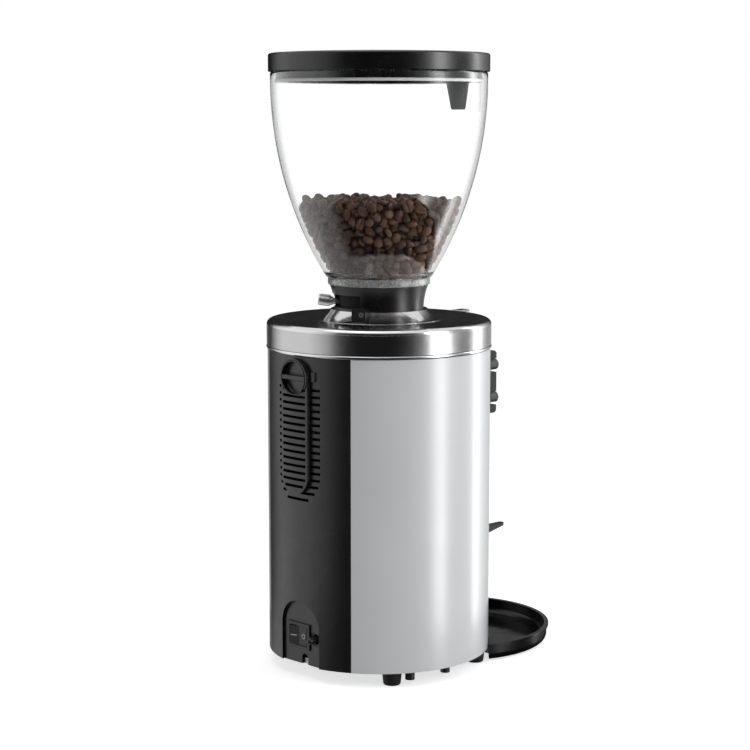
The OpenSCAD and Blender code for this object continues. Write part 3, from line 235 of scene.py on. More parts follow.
# %% Make paper that shines for mirrors
def glowing(name, points, faces, glow, glow_in_glass):
    """Paper that shines by values stored on its points, and only mirrors and glass see it."""
    mesh = bpy.data.meshes.new(name)
    mesh.from_pydata(points, [], faces)
    made = bpy.data.objects.new(name, mesh)
    bpy.context.scene.collection.objects.link(made)
    paper = bpy.data.materials.new(name)
    paper.use_nodes = True
    tree = paper.node_tree
    tree.nodes.clear()
    choice = tree.nodes.new("ShaderNodeMix")
    path = tree.nodes.new("ShaderNodeLightPath")
    tree.links.new(path.outputs["Is Transmission Ray"], choice.inputs[0])
    for side, label, values in ((2, "glow", glow), (3, "glow_in_glass", glow_in_glass)):
        mesh.attributes.new(label, "FLOAT", "POINT").data.foreach_set("value", values)
        level = tree.nodes.new("ShaderNodeAttribute")
        level.attribute_name = label
        tree.links.new(level.outputs["Fac"], choice.inputs[side])
    shine = tree.nodes.new("ShaderNodeEmission")
    tree.links.new(choice.outputs[0], shine.inputs["Strength"])
    either = tree.nodes.new("ShaderNodeMixShader")
    tree.links.new(mirrored(tree), either.inputs[0])
    tree.links.new(tree.nodes.new("ShaderNodeBsdfTransparent").outputs[0], either.inputs[1])
    tree.links.new(shine.outputs[0], either.inputs[2])
    out = tree.nodes.new("ShaderNodeOutputMaterial")
    tree.links.new(either.outputs[0], out.inputs["Surface"])
    mesh.materials.append(paper)
    made.visible_camera = False
    made.visible_diffuse = False
    made.visible_shadow = False
    made.visible_volume_scatter = False


print("paper ready")

# %% [markdown]
# A round mirror shows the room squeezed by bearing, so one table of bearings and
# brightnesses draws all its stripes. The room is dark towards the camera and behind the
# machine, white on the left, and has two tall bright strips on the right. Low down behind
# the machine it is lighter, where the casing mirrors the table top.

# %% Write down the room's brightness
def level_at(table, degrees):
    """Brightness at a bearing, from a table of bearings and brightnesses."""
    return float(np.interp(degrees, [row[0] for row in table], [row[1] for row in table]))


ROOM = ((-180, 0.02), (-150, 0.02), (-142, 0.04), (-134, 0.14), (-125, 0.60), (-112, 1.10),
        (-72, 1.10), (-59, 0.82), (-50, 0.60), (-44, 0.30), (-39, 0.13), (-30, 0.045),
        (-20, 0.018), (14, 0.018), (25, 0.04), (33, 0.11), (42, 0.35), (49, 0.9), (55, 3.6),
        (60, 6.4), (66, 6.2), (71, 2.6), (76, 1.0), (81, 0.5), (90, 0.42), (99, 0.50),
        (105, 1.0), (109, 2.8), (112, 4.2), (118, 3.9), (122, 1.7), (128, 0.9), (138, 0.50),
        (150, 0.20), (160, 0.03), (180, 0.02))
BEHIND = ((-180, 0.60), (-158, 0.30), (-150, 0.08), (-143, 0.05), (143, 0.46), (150, 0.44),
          (165, 0.60), (180, 0.75))
BEHIND_FROM = 143
SILL = 0.24
IN_GLASS = ((-180, 0.9), (-140, 0.9), (-112, 0.75), (-59, 0.55), (-50, 0.42), (-44, 0.24),
            (-39, 0.10), (-30, 0.04), (-20, 0.018), (14, 0.018), (25, 0.04), (33, 0.11),
            (42, 0.30), (52, 0.5), (58, 1.6), (64, 1.8), (72, 0.9), (81, 0.5), (90, 0.42),
            (99, 0.50), (105, 1.0), (109, 3.4), (115, 4.2), (118, 2.0), (124, 0.8), (180, 0.9))
GROUND = ((-180, 0.03), (-150, 0.03), (-138, 0.5), (-125, 0.9), (-74, 0.8), (-66, 0.35),
          (-60, 0.03), (180, 0.02))
print(len(ROOM), "bearings for mirrors,", len(IN_GLASS), "inside the glass")

# %% [markdown]
# The ring stands on a ground sheet that does the same below, because the tulip of glass
# mirrors what lies in front of its foot. Both are made from columns of points.

# %% Stand the surround round the machine
ROOM_RADIUS = 0.95
ROOM_HEIGHT = 1.0
ROOM_FLOOR = -0.20
SILL_BLUR = 0.02
SHEET_HOLE = 0.05
GROUND_IN_GLASS = 0.6
COLUMNS = 240


def strips_of(rows):
    """Faces between columns of points that are numbered column by column."""
    return [(rows * i + j, rows * (i + 1) + j, rows * (i + 1) + j + 1, rows * i + j + 1)
            for i in range(COLUMNS) for j in range(rows - 1)]


bearings = [-180 + 360 * i / COLUMNS for i in range(COLUMNS + 1)]
levels = (ROOM_FLOOR, SILL - SILL_BLUR, SILL + SILL_BLUR, ROOM_HEIGHT)
points = [AXIS + bearing(b) * ROOM_RADIUS + Vector((0, 0, z)) for b in bearings for z in levels]
glow = [level_at(BEHIND if z < SILL and abs(b) > BEHIND_FROM else ROOM, b)
        for b in bearings for z in levels]
glowing("surround", points, strips_of(len(levels)), glow,
        [level_at(IN_GLASS, b) for b in bearings for z in levels])

rings = (SHEET_HOLE, ROOM_RADIUS)
points = [AXIS + bearing(b) * r + Vector((0, 0, ROOM_FLOOR)) for b in bearings for r in rings]
glow = [level_at(GROUND, b) for b in bearings for r in rings]
glowing("ground_sheet", points, strips_of(len(rings)), glow, [g * GROUND_IN_GLASS for g in glow])
print("surround of", COLUMNS, "columns")

# %% [markdown]
# The floor is a wide white sheet. Lamps alone leave it light grey, so rays that look at it
# see it a little brighter, and the machine's own soft shadow still shows. Mirrors look
# through it, down to the ground sheet.

# %% Lay the floor
FLOOR_SIZE = 30.0
FLOOR_LIFT = 0.64
GLASS_LIFT = 0.84
half = FLOOR_SIZE / 2
floor_mesh = bpy.data.meshes.new("floor")
floor_mesh.from_pydata([(-half, -half, 0), (half, -half, 0), (half, half, 0), (-half, half, 0)],
                       [], [(0, 1, 2, 3)])
floor = bpy.data.objects.new("floor", floor_mesh)
bpy.context.scene.collection.objects.link(floor)
sheet = bpy.data.materials.new("floor_sheet")
sheet.use_nodes = True
tree = sheet.node_tree
paper_shader = tree.nodes["Principled BSDF"]
paper_shader.inputs["Base Color"].default_value = (0.86, 0.86, 0.86, 1)
paper_shader.inputs["Roughness"].default_value = 0.9
paper_shader.inputs["Specular IOR Level"].default_value = 0.1
paper_shader.inputs["Emission Color"].default_value = (1, 1, 1, 1)
lift = sum_of(tree, "MULTIPLY", seen_directly(tree), through_glass(tree, FLOOR_LIFT, GLASS_LIFT))
tree.links.new(lift, paper_shader.inputs["Emission Strength"])
open_below = tree.nodes.new("ShaderNodeMixShader")
tree.links.new(mirrored(tree), open_below.inputs[0])
tree.links.new(paper_shader.outputs[0], open_below.inputs[1])
tree.links.new(tree.nodes.new("ShaderNodeBsdfTransparent").outputs[0], open_below.inputs[2])
tree.links.new(open_below.outputs[0], tree.nodes["Material Output"].inputs["Surface"])
floor_mesh.materials.append(sheet)
floor.visible_glossy = False
print("floor laid")

# %% [markdown]
# ## Finishes
# Each finish is a small recipe: a Principled shader, noise that varies its colour and
# roughness, and a fine bump for its grain. Noise is read in object space, so its size is
# in real metres and the same on every piece. A Bevel node rounds sharp edges a little,
# because no real edge is perfectly sharp and it is the rounding that catches light.

# %% Helpers for finishes
def finish(name, colour, roughness, metallic=0.0, **sockets):
    """New material; extra sockets are given by name with _ for a space."""
    made = bpy.data.materials.new(name)
    made.use_nodes = True
    shader = made.node_tree.nodes["Principled BSDF"]
    shader.inputs["Base Color"].default_value = (*colour, 1)
    shader.inputs["Roughness"].default_value = roughness
    shader.inputs["Metallic"].default_value = metallic
    for socket, value in sockets.items():
        shader.inputs[socket.replace("_", " ")].default_value = value
    return made, made.node_tree, shader


NOISE_LOW, NOISE_HIGH = 0.3, 0.7
NOISE_ROUGHNESS = 0.55
BEVEL_SAMPLES = 4


def grain(tree, size, stretch=(1, 1, 1), detail=3.0):
    """Noise whose features are about size metres wide, longer along a stretched axis."""
    place = tree.nodes.new("ShaderNodeTexCoord")
    scale = tree.nodes.new("ShaderNodeMapping")
    scale.inputs["Scale"].default_value = [1 / (size * s) for s in stretch]
    noise = tree.nodes.new("ShaderNodeTexNoise")
    noise.inputs["Scale"].default_value = 1.0
    noise.inputs["Detail"].default_value = detail
    noise.inputs["Roughness"].default_value = NOISE_ROUGHNESS
    tree.links.new(place.outputs["Object"], scale.inputs["Vector"])
    tree.links.new(scale.outputs["Vector"], noise.inputs["Vector"])
    return noise.outputs["Fac"]


def spread(tree, value, low, high, into):
    """Maps a noise value from its usual range to low..high and plugs it in."""
    ranged = tree.nodes.new("ShaderNodeMapRange")
    ranged.inputs["From Min"].default_value = NOISE_LOW
    ranged.inputs["From Max"].default_value = NOISE_HIGH
    ranged.inputs["To Min"].default_value = low
    ranged.inputs["To Max"].default_value = high
    tree.links.new(value, ranged.inputs["Value"])
    tree.links.new(ranged.outputs["Result"], into)


def tint(tree, value, dark, light, into):
    """Blends two colours by a noise value."""
    blend = tree.nodes.new("ShaderNodeValToRGB")
    for stop, level, colour in zip(blend.color_ramp.elements, (NOISE_LOW, NOISE_HIGH),
                                   (dark, light)):
        stop.position = level
        stop.color = (*colour, 1)
    tree.links.new(value, blend.inputs["Fac"])
    tree.links.new(blend.outputs["Color"], into)


def relief(tree, shader, value, height, edge=0.0):
    """Bump of the given height in metres, on edges rounded by the given radius."""
    bump = tree.nodes.new("ShaderNodeBump")
    bump.inputs["Distance"].default_value = height
    bump.inputs["Strength"].default_value = 1.0
    tree.links.new(value, bump.inputs["Height"])
    if edge:
        rounding = tree.nodes.new("ShaderNodeBevel")
        rounding.samples = BEVEL_SAMPLES
        rounding.inputs["Radius"].default_value = edge
        tree.links.new(rounding.outputs["Normal"], bump.inputs["Normal"])
    tree.links.new(bump.outputs["Normal"], shader.inputs["Normal"])


def turned(tree, shader):
    """Points the shader's streaks round the upright axis."""
    around = tree.nodes.new("ShaderNodeTangent")
    around.direction_type = "RADIAL"
    around.axis = "Z"
    tree.links.new(around.outputs["Tangent"], shader.inputs["Tangent"])


print("helpers ready")

# %% [markdown]
# The casing is sheet steel with a silver-white stove enamel. Such paint is smooth but not
# a mirror: wide soft highlights over a nearly even colour, with a faint orange peel.

# %% Painted casing
def painted_casing():
    made, tree, shader = finish("painted_casing", (0.68, 0.69, 0.70), 0.34, Coat_Weight=1.0,
                                Coat_Roughness=0.14)
    tint(tree, grain(tree, 0.05), (0.675, 0.685, 0.70), (0.70, 0.71, 0.72),
         shader.inputs["Base Color"])
    spread(tree, grain(tree, 0.02), 0.30, 0.38, shader.inputs["Roughness"])
    relief(tree, shader, grain(tree, 0.0012, detail=2), 0.000006, edge=0.0005)
    return made


# %% [markdown]
# The rear cover, pod, collar, lid, tray and chute are moulded plastic. The mould leaves a
# fine spark-eroded grain on the satin ones and hardly any on the glossy ones, so one
# recipe does for all. The rubber feet, the pale seal, the blackened ring and the printed
# marks differ only in their numbers, so they take it too.

# %% Moulded pieces
PLASTIC_EDGE = 0.0004


def moulded(name, colour, roughness, peel, gloss=0.5, size=0.00035):
    """Plastic of a roughness and gloss, with a grain of a height (peel) and a size."""
    made, tree, shader = finish(name, colour, roughness, Specular_IOR_Level=gloss)
    light = tuple(c * 1.25 + 0.001 for c in colour)
    tint(tree, grain(tree, 0.03), colour, light, shader.inputs["Base Color"])
    spread(tree, grain(tree, 0.012, detail=5), roughness - 0.05, roughness + 0.06,
           shader.inputs["Roughness"])
    relief(tree, shader, grain(tree, size, detail=2), peel, edge=PLASTIC_EDGE)
    return made


MOULDED = {
    "black_cover": ((0.0055, 0.0055, 0.006), 0.31, 0.000016, 0.62),
    "black_collar": ((0.005, 0.005, 0.0055), 0.27, 0.000008),
    "black_lid": ((0.004, 0.004, 0.0045), 0.25, 0.000008, 0.6),
    "black_tray": ((0.0025, 0.0025, 0.0025), 0.20, 0.000004, 0.33),
    "black_chute": ((0.012, 0.012, 0.012), 0.26, 0.000006),
    "push_button": ((0.045, 0.045, 0.043), 0.42, 0.000015),
    "switch_plastic": ((0.016, 0.016, 0.016), 0.36, 0.000012),
    "blackened_ring": ((0.0025, 0.0025, 0.0025), 0.55, 0.00001, 0.15),
    "seal_silicone": ((0.80, 0.80, 0.79), 0.30, 0.000010, 0.7),
    "mark_white": ((0.42, 0.42, 0.41), 0.45, 0.000004),
    "foot_rubber": ((0.016, 0.016, 0.016), 0.68, 0.00005, 0.3, 0.0007),
}
finishes = {name: moulded(name, *values) for name, values in MOULDED.items()}
print(len(finishes), "moulded finishes")

# %% [markdown]
# Rolled and brushed stainless steel carries fine scratches round the band. They widen a
# highlight across themselves and leave it sharp along themselves, which is what the
# Anisotropic value with a radial tangent does. The scratches are also a stretched noise.
# Steel that is blasted or ground has none, so its noise isn't stretched.

# %% Steels
STEEL_EDGE = 0.0003


def brushed(name, colour, roughness, along, across, depth, directional=0.0):
    """Steel with scratches of a width (across), stretched along them and of a depth."""
    made, tree, shader = finish(name, colour, roughness, 1.0, Anisotropic=directional)
    light = tuple(min(1, c * 1.12) for c in colour)
    scratches = grain(tree, across, stretch=along, detail=4)
    tint(tree, scratches, colour, light, shader.inputs["Base Color"])
    spread(tree, grain(tree, 0.01, detail=5), roughness - 0.04, roughness + 0.05,
           shader.inputs["Roughness"])
    relief(tree, shader, scratches, depth, edge=STEEL_EDGE)
    turned(tree, shader)
    return made


EVEN = (1, 1, 1)
STEELS = {
    "brushed_band": ((0.47, 0.47, 0.475), 0.15, (260, 260, 1), 0.00012, 0.0000012, 0.6),
    "top_metal": ((0.62, 0.62, 0.625), 0.13, (90, 90, 1), 0.0002, 0.0000006, 0.25),
    "polished_steel": ((0.66, 0.66, 0.665), 0.13, (80, 80, 1), 0.0002, 0.0000008, 0.2),
    "panel_metal": ((0.42, 0.42, 0.43), 0.28, (120, 1, 1), 0.00015, 0.0000015),
    "satin_steel": ((0.66, 0.66, 0.655), 0.34, EVEN, 0.0004, 0.000004),
    "fastener_steel": ((0.26, 0.26, 0.27), 0.34, EVEN, 0.0008, 0.000006),
    "burr_steel": ((0.50, 0.50, 0.51), 0.26, EVEN, 0.0004, 0.000004),
}
finishes.update({name: brushed(name, *values) for name, values in STEELS.items()})
print(len(STEELS), "steels")

# %% [markdown]
# Inside are castings, an iron core, copper and a board. Little of it shows, through the
# louvres and the open recess, but each has its true finish: sand-rough cast aluminium,
# varnished laminations, enamelled wire and a green solder mask.

# %% Finishes of the inside
def cast_aluminium():
    made, tree, shader = finish("cast_aluminium", (0.48, 0.49, 0.50), 0.5, 1.0)
    tint(tree, grain(tree, 0.006, detail=6), (0.42, 0.43, 0.44), (0.55, 0.56, 0.57),
         shader.inputs["Base Color"])
    spread(tree, grain(tree, 0.003), 0.42, 0.6, shader.inputs["Roughness"])
    relief(tree, shader, grain(tree, 0.0009, detail=4), 0.00008, edge=0.0006)
    return made


def laminated_iron():
    made, tree, shader = finish("laminated_iron", (0.16, 0.15, 0.14), 0.45, 0.8)
    sheets = grain(tree, 0.0005, stretch=(200, 200, 1), detail=1)
    tint(tree, sheets, (0.10, 0.095, 0.09), (0.22, 0.20, 0.18), shader.inputs["Base Color"])
    relief(tree, shader, sheets, 0.00006)
    return made


def copper_wire():
    made, tree, shader = finish("copper_wire", (0.60, 0.24, 0.09), 0.30, 0.9, Coat_Weight=0.5)
    strands = grain(tree, 0.0009, stretch=(30, 30, 1), detail=2)
    tint(tree, strands, (0.35, 0.12, 0.04), (0.70, 0.30, 0.12), shader.inputs["Base Color"])
    relief(tree, shader, strands, 0.0003)
    return made


def circuit_board():
    made, tree, shader = finish("circuit_board", (0.01, 0.12, 0.05), 0.3, Coat_Weight=0.4)
    tint(tree, grain(tree, 0.004, detail=5), (0.008, 0.10, 0.04), (0.02, 0.17, 0.07),
         shader.inputs["Base Color"])
    relief(tree, shader, grain(tree, 0.0012), 0.00003)
    return made


# %% [markdown]
# At the front, the fork is a steel arm with a black powder coat, which is a little rough,
# and the display is a dark window of polished plastic.

# %% Fork and display
def fork_metal():
    made, tree, shader = finish("fork_metal", (0.015, 0.015, 0.015), 0.38, Coat_Weight=0.2)
    tint(tree, grain(tree, 0.01, detail=5), (0.013, 0.013, 0.013), (0.022, 0.022, 0.022),
         shader.inputs["Base Color"])
    relief(tree, shader, grain(tree, 0.0006), 0.00002, edge=0.0006)
    return made


def display():
    made, tree, shader = finish("display", (0.004, 0.006, 0.008), 0.08, Coat_Weight=0.6)
    tint(tree, grain(tree, 0.01), (0.004, 0.006, 0.008), (0.007, 0.010, 0.013),
         shader.inputs["Base Color"])
    spread(tree, grain(tree, 0.006, detail=5), 0.06, 0.14, shader.inputs["Roughness"])
    return made


# %% [markdown]
# The hopper is clear borosilicate glass. Light has to reach the beans through it, and a
# ray tracer finds no lamp through bent glass, so shadow rays pass it as if it weren't
# there. Its surface has a faint ripple from the mould, and the thick foot, which the
# press leaves rough, is frosted.

# %% Glass
GLASS_COLOUR = (0.985, 0.995, 0.992)


def glass(name, clearness, tones, rough, mottle, ripple, height):
    """Glass that lets the lamps' light through, toned and roughened between two values."""
    made, tree, shader = finish(name, GLASS_COLOUR, 0.0, IOR=1.47,
                                Transmission_Weight=clearness, Specular_IOR_Level=0.42)
    cloud = grain(tree, mottle, detail=5)
    tint(tree, cloud, *tones, shader.inputs["Base Color"])
    spread(tree, cloud, *rough, shader.inputs["Roughness"])
    relief(tree, shader, grain(tree, ripple, detail=1), height)
    clear = tree.nodes.new("ShaderNodeBsdfTransparent")
    clear.inputs["Color"].default_value = (0.95, 0.96, 0.96, 1)
    path = tree.nodes.new("ShaderNodeLightPath")
    choose = tree.nodes.new("ShaderNodeMixShader")
    out = next(n for n in tree.nodes if n.type == "OUTPUT_MATERIAL")
    tree.links.new(path.outputs["Is Shadow Ray"], choose.inputs[0])
    tree.links.new(shader.outputs["BSDF"], choose.inputs[1])
    tree.links.new(clear.outputs["BSDF"], choose.inputs[2])
    tree.links.new(choose.outputs["Shader"], out.inputs["Surface"])
    return made


def clear_glass():
    return glass("clear_glass", 1.0, (GLASS_COLOUR, (0.987, 0.996, 0.994)),
                 (0.0, 0.015), 0.03, 0.02, 0.00004)


def frosted_glass():
    return glass("frosted_glass", 0.62, ((0.30, 0.31, 0.31), (0.99, 1.0, 1.0)),
                 (0.02, 0.30), 0.0026, 0.0018, 0.00012)


# %% [markdown]
# Roasted beans are matte to satin brown, and no two are alike. The heap is one mesh, so
# each bean's own shade is stored on its points and read here by an Attribute node.

# %% Roasted beans
ROASTS = ((0.2, (0.035, 0.018, 0.011, 1)), (1.0, (0.165, 0.083, 0.050, 1)))


def roasted_beans():
    made, tree, shader = finish("roasted_beans", (0.05, 0.028, 0.019), 0.5)
    shade = tree.nodes.new("ShaderNodeAttribute")
    shade.attribute_name = "roast"
    blotches = grain(tree, 0.0025, detail=5)
    half_strength = sum_of(tree, "MULTIPLY", blotches, 0.5)
    ramp = tree.nodes.new("ShaderNodeValToRGB")
    for stop, roast in zip(ramp.color_ramp.elements, ROASTS):
        stop.position, stop.color = roast
    tree.links.new(sum_of(tree, "ADD", half_strength, shade.outputs["Fac"]), ramp.inputs["Fac"])
    tree.links.new(ramp.outputs["Color"], shader.inputs["Base Color"])
    spread(tree, blotches, 0.40, 0.62, shader.inputs["Roughness"])
    relief(tree, shader, grain(tree, 0.0006, detail=3), 0.00006)
    return made


# %% [markdown]
# The record names a finish for every solid. Each name there is the name of a finish here,
# so one loop dresses them all. Three solids differ from their kin: the ring behind the
# collar's slot and the base's bolts are blackened, and the lever is blasted to a satin.

# %% Dress the solids
RECIPES = (painted_casing, cast_aluminium, laminated_iron, copper_wire, circuit_board,
           fork_metal, display, clear_glass, frosted_glass, roasted_beans)
REFINED = {"adjust_ring": "blackened_ring", "base_bolts": "fork_metal",
           "adjust_lever": "satin_steel"}

finishes.update({recipe.__name__: recipe() for recipe in RECIPES})
for part in frame["record"]["subparts"]:
    solid = nodes[part["node"]]
    if not solid.material_slots:
        solid.data.materials.append(None)
    for holder in solid.material_slots:
        holder.material = finishes[REFINED.get(part["node"], part["material_slot"])]
print(len(finishes), "finishes on", len(nodes), "solids")

# %% [markdown]
# ## Round pieces
# Glass needs a smoother surface than the tessellated solid has, because every facet bends
# the picture behind it. So the hopper is lathed here again from the same profile: a half
# section turned round the axis in many fine steps. Each piece made here rides on a body,
# so it moves with it, and takes its solid's place where it stands for one.


def add_piece(name, points, faces, body, slot, smooth=True):
    """Makes a mesh piece with its finish, riding on a body of the machine."""
    mesh = bpy.data.meshes.new(name)
    mesh.from_pydata([tuple(p) for p in points], [], faces)
    mesh.materials.append(finishes[slot])
    mesh.polygons.foreach_set("use_smooth", [smooth] * len(mesh.polygons))
    mesh.update()
    made = bpy.data.objects.new(name, mesh)
    bpy.context.scene.collection.objects.link(made)
    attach(made, body)
    return made


def lathe(name, profile, body, slot, steps=256):
    """Turns a closed half section of (radius, height) points round the machine's axis."""
    count = len(profile)
    points, faces = [], []
    for i in range(steps):
        a = 2 * math.pi * i / steps
        points += [(AXIS.x + r * math.cos(a), AXIS.y + r * math.sin(a), z) for r, z in profile]
        near, far = i * count, (i + 1) % steps * count
        for j in range(count):
            k = (j + 1) % count
            faces.append((near + j, near + k, far + k, far + j)[::-1])
    return add_piece(name, points, faces, body, slot)


def arc(cx, cz, radius, first, last, steps):
    """Points of an arc in the half section, with its ends, angles in degrees."""
    turns = [math.radians(first + (last - first) * i / steps) for i in range(steps + 1)]
    return [(cx + radius * math.cos(t), cz + radius * math.sin(t)) for t in turns]


print("lathe ready")

# %% [markdown]
# The hopper is a tulip: its wall is one large arc that is upright at the top. A thick foot
# joins it to a short spigot, which plugs into the collar, and the rim is fire-polished.

# %% Blow the hopper
GLASS_WALL = 3.2 * MM
FOOT_HEIGHT = 6.0 * MM
RIM_HEIGHT = 6.0 * MM
BOWL_HEIGHT = 165.5 * MM
BOWL_FOOT_RADIUS = 44.5 * MM
SPIGOT_RADIUS = 35.0 * MM
SPIGOT_CHAMFER = 0.4 * MM
FOOT_INSET = 1.0 * MM
FOOT_FILLET = 1.2 * MM
FOOT_LIP = ((0.0, -0.6), (0.35, 0.0))
THROAT_LIP = ((1.6, 3.4), (0.4, 2.6), (0.0, 1.4))
OUTSIDE_START, INSIDE_START = 1.0 * MM, 4.0 * MM
WALL_STEPS = 64

glass_low, glass_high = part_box("hopper_glass")
bowl_radius = (glass_high.x - glass_low.x) / 2
rim_z = glass_high.z
bowl_top_z = rim_z - RIM_HEIGHT
bowl_z = bowl_top_z - BOWL_HEIGHT
foot_z = bowl_z - FOOT_HEIGHT
swell = bowl_radius - BOWL_FOOT_RADIUS
wall_arc = (BOWL_HEIGHT ** 2 + swell ** 2) / (2 * swell)
wall_centre = bowl_radius - wall_arc


def wall_radius(z, inset=0.0):
    """Radius of the bowl's wall at a height, moved inwards by inset."""
    drop = min(0.0, z - bowl_top_z)
    return wall_centre + math.sqrt((wall_arc - inset) ** 2 - drop ** 2)


def wall_points(inset, low, high, steps=WALL_STEPS):
    """Points of the half section up the wall, between two heights."""
    heights = [low + (high - low) * i / steps for i in range(steps + 1)]
    return [(wall_radius(z, inset), z) for z in heights]


rim_radius = GLASS_WALL / 2
throat_radius = SPIGOT_RADIUS - GLASS_WALL
foot_radius = BOWL_FOOT_RADIUS - FOOT_INSET
spigot_end = glass_low.z + SPIGOT_CHAMFER
profile = (
    [(throat_radius, spigot_end), (throat_radius + SPIGOT_CHAMFER, glass_low.z),
     (SPIGOT_RADIUS - SPIGOT_CHAMFER, glass_low.z), (SPIGOT_RADIUS, spigot_end),
     (SPIGOT_RADIUS, foot_z)]
    + arc(foot_radius - FOOT_FILLET, foot_z + FOOT_FILLET, FOOT_FILLET, -90, 0, 6)
    + [(foot_radius + out * MM, bowl_z + up * MM) for out, up in FOOT_LIP]
    + wall_points(0, bowl_z + OUTSIDE_START, bowl_top_z)
    + arc(bowl_radius - rim_radius, rim_z - rim_radius, rim_radius, 0, 180, 12)
    + wall_points(GLASS_WALL, bowl_z + INSIDE_START, bowl_top_z)[::-1]
    + [(throat_radius + out * MM, bowl_z + up * MM) for out, up in THROAT_LIP]
)
hopper = lathe("glass_hopper", profile, "hopper", "clear_glass", steps=360)
hopper.data.materials.append(finishes["frosted_glass"])
for face in hopper.data.polygons:
    if face.center.z < bowl_z + OUTSIDE_START:
        face.material_index = 1
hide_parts("hopper_glass")
print("hopper", round(2 * bowl_radius / MM, 1), "mm across,", len(hopper.data.vertices), "points")

# %% [markdown]
# The lid is loose, so it sits a little turned, as its hanging tab shows. It is lathed too,
# with rounded edges. Its flat top stays flat in the light only if the edge beside it is
# marked sharp. A pale silicone seal runs round the skirt's end and wipes the glass.

# %% Turn the lid
LID_EDGE = 2.0 * MM
LID_WALL = 2.4 * MM
SKIRT_DEPTH = 8.0 * MM
SKIRT_GAP = 1.5 * MM
LID_LIFT = 0.3 * MM
SOFT = 0.4 * MM
POLE = 0.5 * MM
SHARP = math.radians(30)
SEAL_SECTION = ((-1.2, 0.2), (-0.2, 1.9), (0.5, 1.9), (1.0, 1.0), (1.0, 0.2), (0.5, -0.7),
                (-0.8, -0.7))

lid_low, lid_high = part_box("lid")
lid_radius = (lid_high.x - lid_low.x) / 2
lid_foot = rim_z + LID_LIFT
skirt_radius = bowl_radius - GLASS_WALL - SKIRT_GAP
skirt_inside = skirt_radius - LID_WALL
skirt_end = rim_z - SKIRT_DEPTH
profile = (
    [(POLE, lid_high.z - LID_WALL), (skirt_inside, lid_high.z - LID_WALL),
     (skirt_inside, skirt_end + SOFT), (skirt_inside + SOFT, skirt_end),
     (skirt_radius - SOFT, skirt_end), (skirt_radius, skirt_end + SOFT),
     (skirt_radius, lid_foot), (lid_radius - SOFT, lid_foot), (lid_radius, lid_foot + SOFT)]
    + arc(lid_radius - LID_EDGE, lid_high.z - LID_EDGE, LID_EDGE, 0, 90, 8)
    + [(POLE, lid_high.z)])
lid_cap = lathe("lid_cap", profile[::-1], "lid", "black_lid")
lid_cap.data.set_sharp_from_angle(angle=SHARP)
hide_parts("lid")
lathe("lid_seal", [(skirt_radius + out * MM, skirt_end + up * MM) for out, up in SEAL_SECTION],
      "lid", "seal_silicone")
print("lid", round(2 * lid_radius / MM, 1), "mm across")

# %% [markdown]
# The tab is a finger grip that hangs from the skirt into the bowl. It follows the skirt's
# curve and narrows towards its tip, so it is made as two curved grids, an outer and an
# inner one, and joined round their edges.

# %% Hang the tab
FRONT = 270
LID_TURN = -9.6
TAB_TOP = 31.0 * MM
TAB_TIP = 17.5 * MM
TAB_CORNER = 0.8 * MM
TAB_ROOT = 1.0 * MM
TAB_ROWS = 12
TAB_COLUMNS = 10


def around_axis(radius, degrees, z):
    """A place at a radius and height, at degrees counted from the frame's X."""
    a = math.radians(degrees)
    return AXIS + Vector((radius * math.cos(a), radius * math.sin(a), z))


points, faces = [], []
tab_top = skirt_end + TAB_ROOT
for radius in (skirt_radius, skirt_inside):
    for i in range(TAB_ROWS + 1):
        t = i / TAB_ROWS
        corner = TAB_CORNER * max(0.0, 1 - (1 - t) * TAB_ROWS)
        width = TAB_TOP * (1 - t) + TAB_TIP * t - 2 * corner
        half_angle = math.degrees(width / 2 / radius)
        for j in range(TAB_COLUMNS + 1):
            swing = half_angle * (2 * j / TAB_COLUMNS - 1)
            points.append(around_axis(radius, FRONT + LID_TURN + swing,
                                      tab_top + (lid_low.z - tab_top) * t))
row = TAB_COLUMNS + 1
layer = row * (TAB_ROWS + 1)
for i in range(TAB_ROWS):
    for j in range(TAB_COLUMNS):
        a = i * row + j
        faces += [(a, a + row, a + row + 1, a + 1),
                  (layer + a, layer + a + 1, layer + a + row + 1, layer + a + row)]
    for a, way in ((i * row, 1), (i * row + TAB_COLUMNS, -1)):
        faces.append((a, layer + a, layer + a + row, a + row)[::way])
for j in range(TAB_COLUMNS):
    for a, way in ((j, -1), (TAB_ROWS * row + j, 1)):
        faces.append((a, layer + a, layer + a + 1, a + 1)[::way])
add_piece("lid_tab", points, faces, "lid", "black_lid", smooth=False)
print("tab of", len(faces), "faces")

# %% [markdown]
# ## Latch and switch
# The vent's latch is a cup with a thin rim and a finger bar across it. Behind the cover a
# cam on its spindle holds the panel. The cup is a lathed form as well, but about its own
# level axis, and the bar and the cam are bars set into it.

# %% Cut the latch knob
LATCH_RIM = 0.9 * MM
LATCH_POCKET = 5.0 * MM
LATCH_BAR = 3.8 * MM
BAR_SINK = 0.2 * MM
BAR_ROOT = 0.5 * MM
BAR_EDGE = 0.5 * MM
CAM_THICK = 2.0 * MM
CAM_WIDTH = 6.0 * MM
CAM_LENGTH = 24.0 * MM
CAM_EDGE = 0.2 * MM
SPINDLE = 4.0 * MM
KNOB_BACK = 4.6 * MM
KNOB_POLE = 0.2 * MM
KNOB_SOFT = 0.3 * MM
LATCH_STEPS = 96

